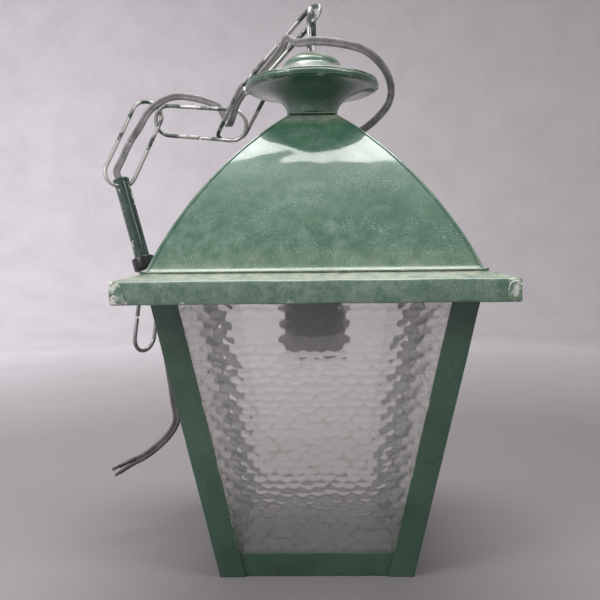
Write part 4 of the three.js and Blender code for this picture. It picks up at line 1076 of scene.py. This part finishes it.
def plain(name, light, dark, rough, grain=1.2, relief=0.05, clouds=(8, 4, 0.6), spread=0.12, metallic=0):
    f = Finish(name)
    patches = f.noise(*clouds)
    return f.principled({"Base Color": f.mix(f.step(patches, 0.35, 0.7), light, dark), "Metallic": metallic,
                         "Roughness": f.step(patches, 0.3, 0.7, rough, rough + spread),
                         "Normal": f.bump(f.noise(grain, 3), relief)})


METAL = {"grain": 1.1, "clouds": (7, 5, 0.65), "spread": 0.2, "metallic": 1}
SHEATH = {"rough": 0.34, "grain": 2.5, "relief": 0.12}
FINISHES |= {
    "hammered_glass": glass(),
    "steel": plain("dull zinc", (176, 176, 174), (128, 126, 122), 0.32, **METAL),
    "brass": plain("plain brass", (200, 168, 98), (150, 118, 62), 0.28, **METAL),
    "black_plastic": plain("black resin", (28, 28, 29), (42, 41, 42), 0.2),
    "porcelain": plain("glazed ceramic", (228, 224, 212), (205, 200, 186), 0.2),
    "rubber": plain("matt rubber", (44, 44, 46), (62, 60, 60), 0.65),
    "flex_sheath": plain("grey flex sheath", (150, 147, 147), (108, 105, 107), **SHEATH),
}
# The hanging tail's sheath is darker than the rest of the flex.
DARKER_TAIL_SHEATH = plain("darker grey flex sheath", (106, 103, 104), (70, 68, 69), **SHEATH | {"rough": 0.36})
print("finishes:", ", ".join(FINISHES))

# %% [markdown]
# Every piece is dressed by its slot. The attribute for worn edges comes from the angle between the faces
# that meet at each point. Only outward turns count, because paint rubs off ridges.

# %% Dress every piece
def mark_edges(piece):
    shape = bmesh.new()
    shape.from_mesh(piece.data)
    turns = [max((edge.calc_face_angle_signed(0) for edge in vertex.link_edges), default=0)
             for vertex in shape.verts]
    shape.free()
    attribute = piece.data.attributes.new("edge", "FLOAT", "POINT")
    attribute.data.foreach_set("value", [clamp((math.degrees(turn) - 9) / 16) for turn in turns])


def dress(piece, material):
    if not piece.material_slots:
        piece.data.materials.append(None)
    for place in piece.material_slots:
        place.material = material


OWN = {"wire_link": RUBBED, "wire_hanger": RUBBED, "domed_cover": DUSTY, "turned_trumpet": DUSTY,
       "twin_flex_tail": DARKER_TAIL_SHEATH, "hanging_stem": GLOSSY_PAINTED_SHADE}
for part in frame["record"]["subparts"]:
    dress(NODES[part["node"]], FINISHES[part["material_slot"]])
new_pieces = [o for o in bpy.data.objects if "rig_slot" in o and o.name not in NODES]
for piece in new_pieces:
    if piece["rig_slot"] in ("green_paint", "roof_paint"):
        mark_edges(piece)
    own = [material for start, material in OWN.items() if piece.name.startswith(start)]
    dress(piece, own[0] if own else FINISHES[piece["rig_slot"]])
print("dressed", len(new_pieces), "new pieces and", len(NODES), "nodes")

# %% [markdown]
# The stage is a round sweep of grey paper: a floor that turns up into a wall without a corner, the same
# seen from every side.

# %% Floor and backdrop
def sweep():
    bend = [(1300 + 500 * math.sin(a), 500 - 500 * math.cos(a)) for a in map(math.radians, range(0, 91, 6))]
    piece = spun([(0, 0), (400, 0), (900, 0), *bend, (1800, 1250)], 96, closed=False)
    bpy.ops.object.mode_set(mode="EDIT")
    bpy.ops.mesh.flip_normals()
    bpy.ops.object.mode_set(mode="OBJECT")
    smooth(piece, 60)
    piece.name = "paper_sweep"
    return piece


def paper():
    f = Finish("grey paper with painted light")
    x, y = f.axis("X"), f.axis("Y")
    # Painted light and shade: the paper is lighter to the left than to the right, and its floor is painted
    # darker than its wall.
    floor_painted_shade = f.mix(f.step(x, -0.6, 0.6), (147, 142, 145), (113, 108, 110))
    wall = f.mix(f.step(x, -0.8, 0.8), (244, 240, 245), (188, 184, 186))
    tone = f.mix(f.step(x * x + y * y, 0.2, 1.4), floor_painted_shade, wall)
    fibres = f.step(f.noise(5, 5, 0.7), 0.35, 0.7) * f.step(f.noise(90, 4), 0.35, 0.65)
    return f.principled({"Base Color": f.mix(fibres * 0.22, tone, (120, 115, 117)), "Roughness": 0.6})


backdrop = sweep()
backdrop.data.materials.append(paper())

# %% [markdown]
# The light is that of a plain room: a wide soft panel above and behind, two weaker ones in front, left and
# right, and a pale surround. The upper panel mirrors in the enamel as a bright band across the roof's top.

# %% Lights
def panel_light(name, place, target, size, watts):
    data = bpy.data.lights.new(name, "AREA")
    data.shape = "RECTANGLE"
    data.energy, data.size, data.size_y = watts, *size
    lamp = bpy.data.objects.new(name, data)
    bpy.context.scene.collection.objects.link(lamp)
    lamp.location = place
    lamp.rotation_euler = (Vector(target) - Vector(place)).to_track_quat("-Z", "Y").to_euler()


panel_light("left_panel", (-0.8, -0.6, 0.8), (0, 0.05, 0.2), (0.5, 0.5), 8)
panel_light("right_panel", (0.85, -0.5, 0.8), (0, 0.05, 0.2), (0.5, 0.5), 5)
panel_light("top_panel", (0, 0.25, 1.3), (0, 0.1, 0.25), (0.8, 0.52), 13)
world = bpy.data.worlds.new("surround")
bpy.context.scene.world = world
world.use_nodes = True
world.node_tree.nodes["Background"].inputs["Color"].default_value = colour(216, 214, 215)
world.node_tree.nodes["Background"].inputs["Strength"].default_value = 0.66
bpy.context.scene.view_settings.view_transform = "Standard"
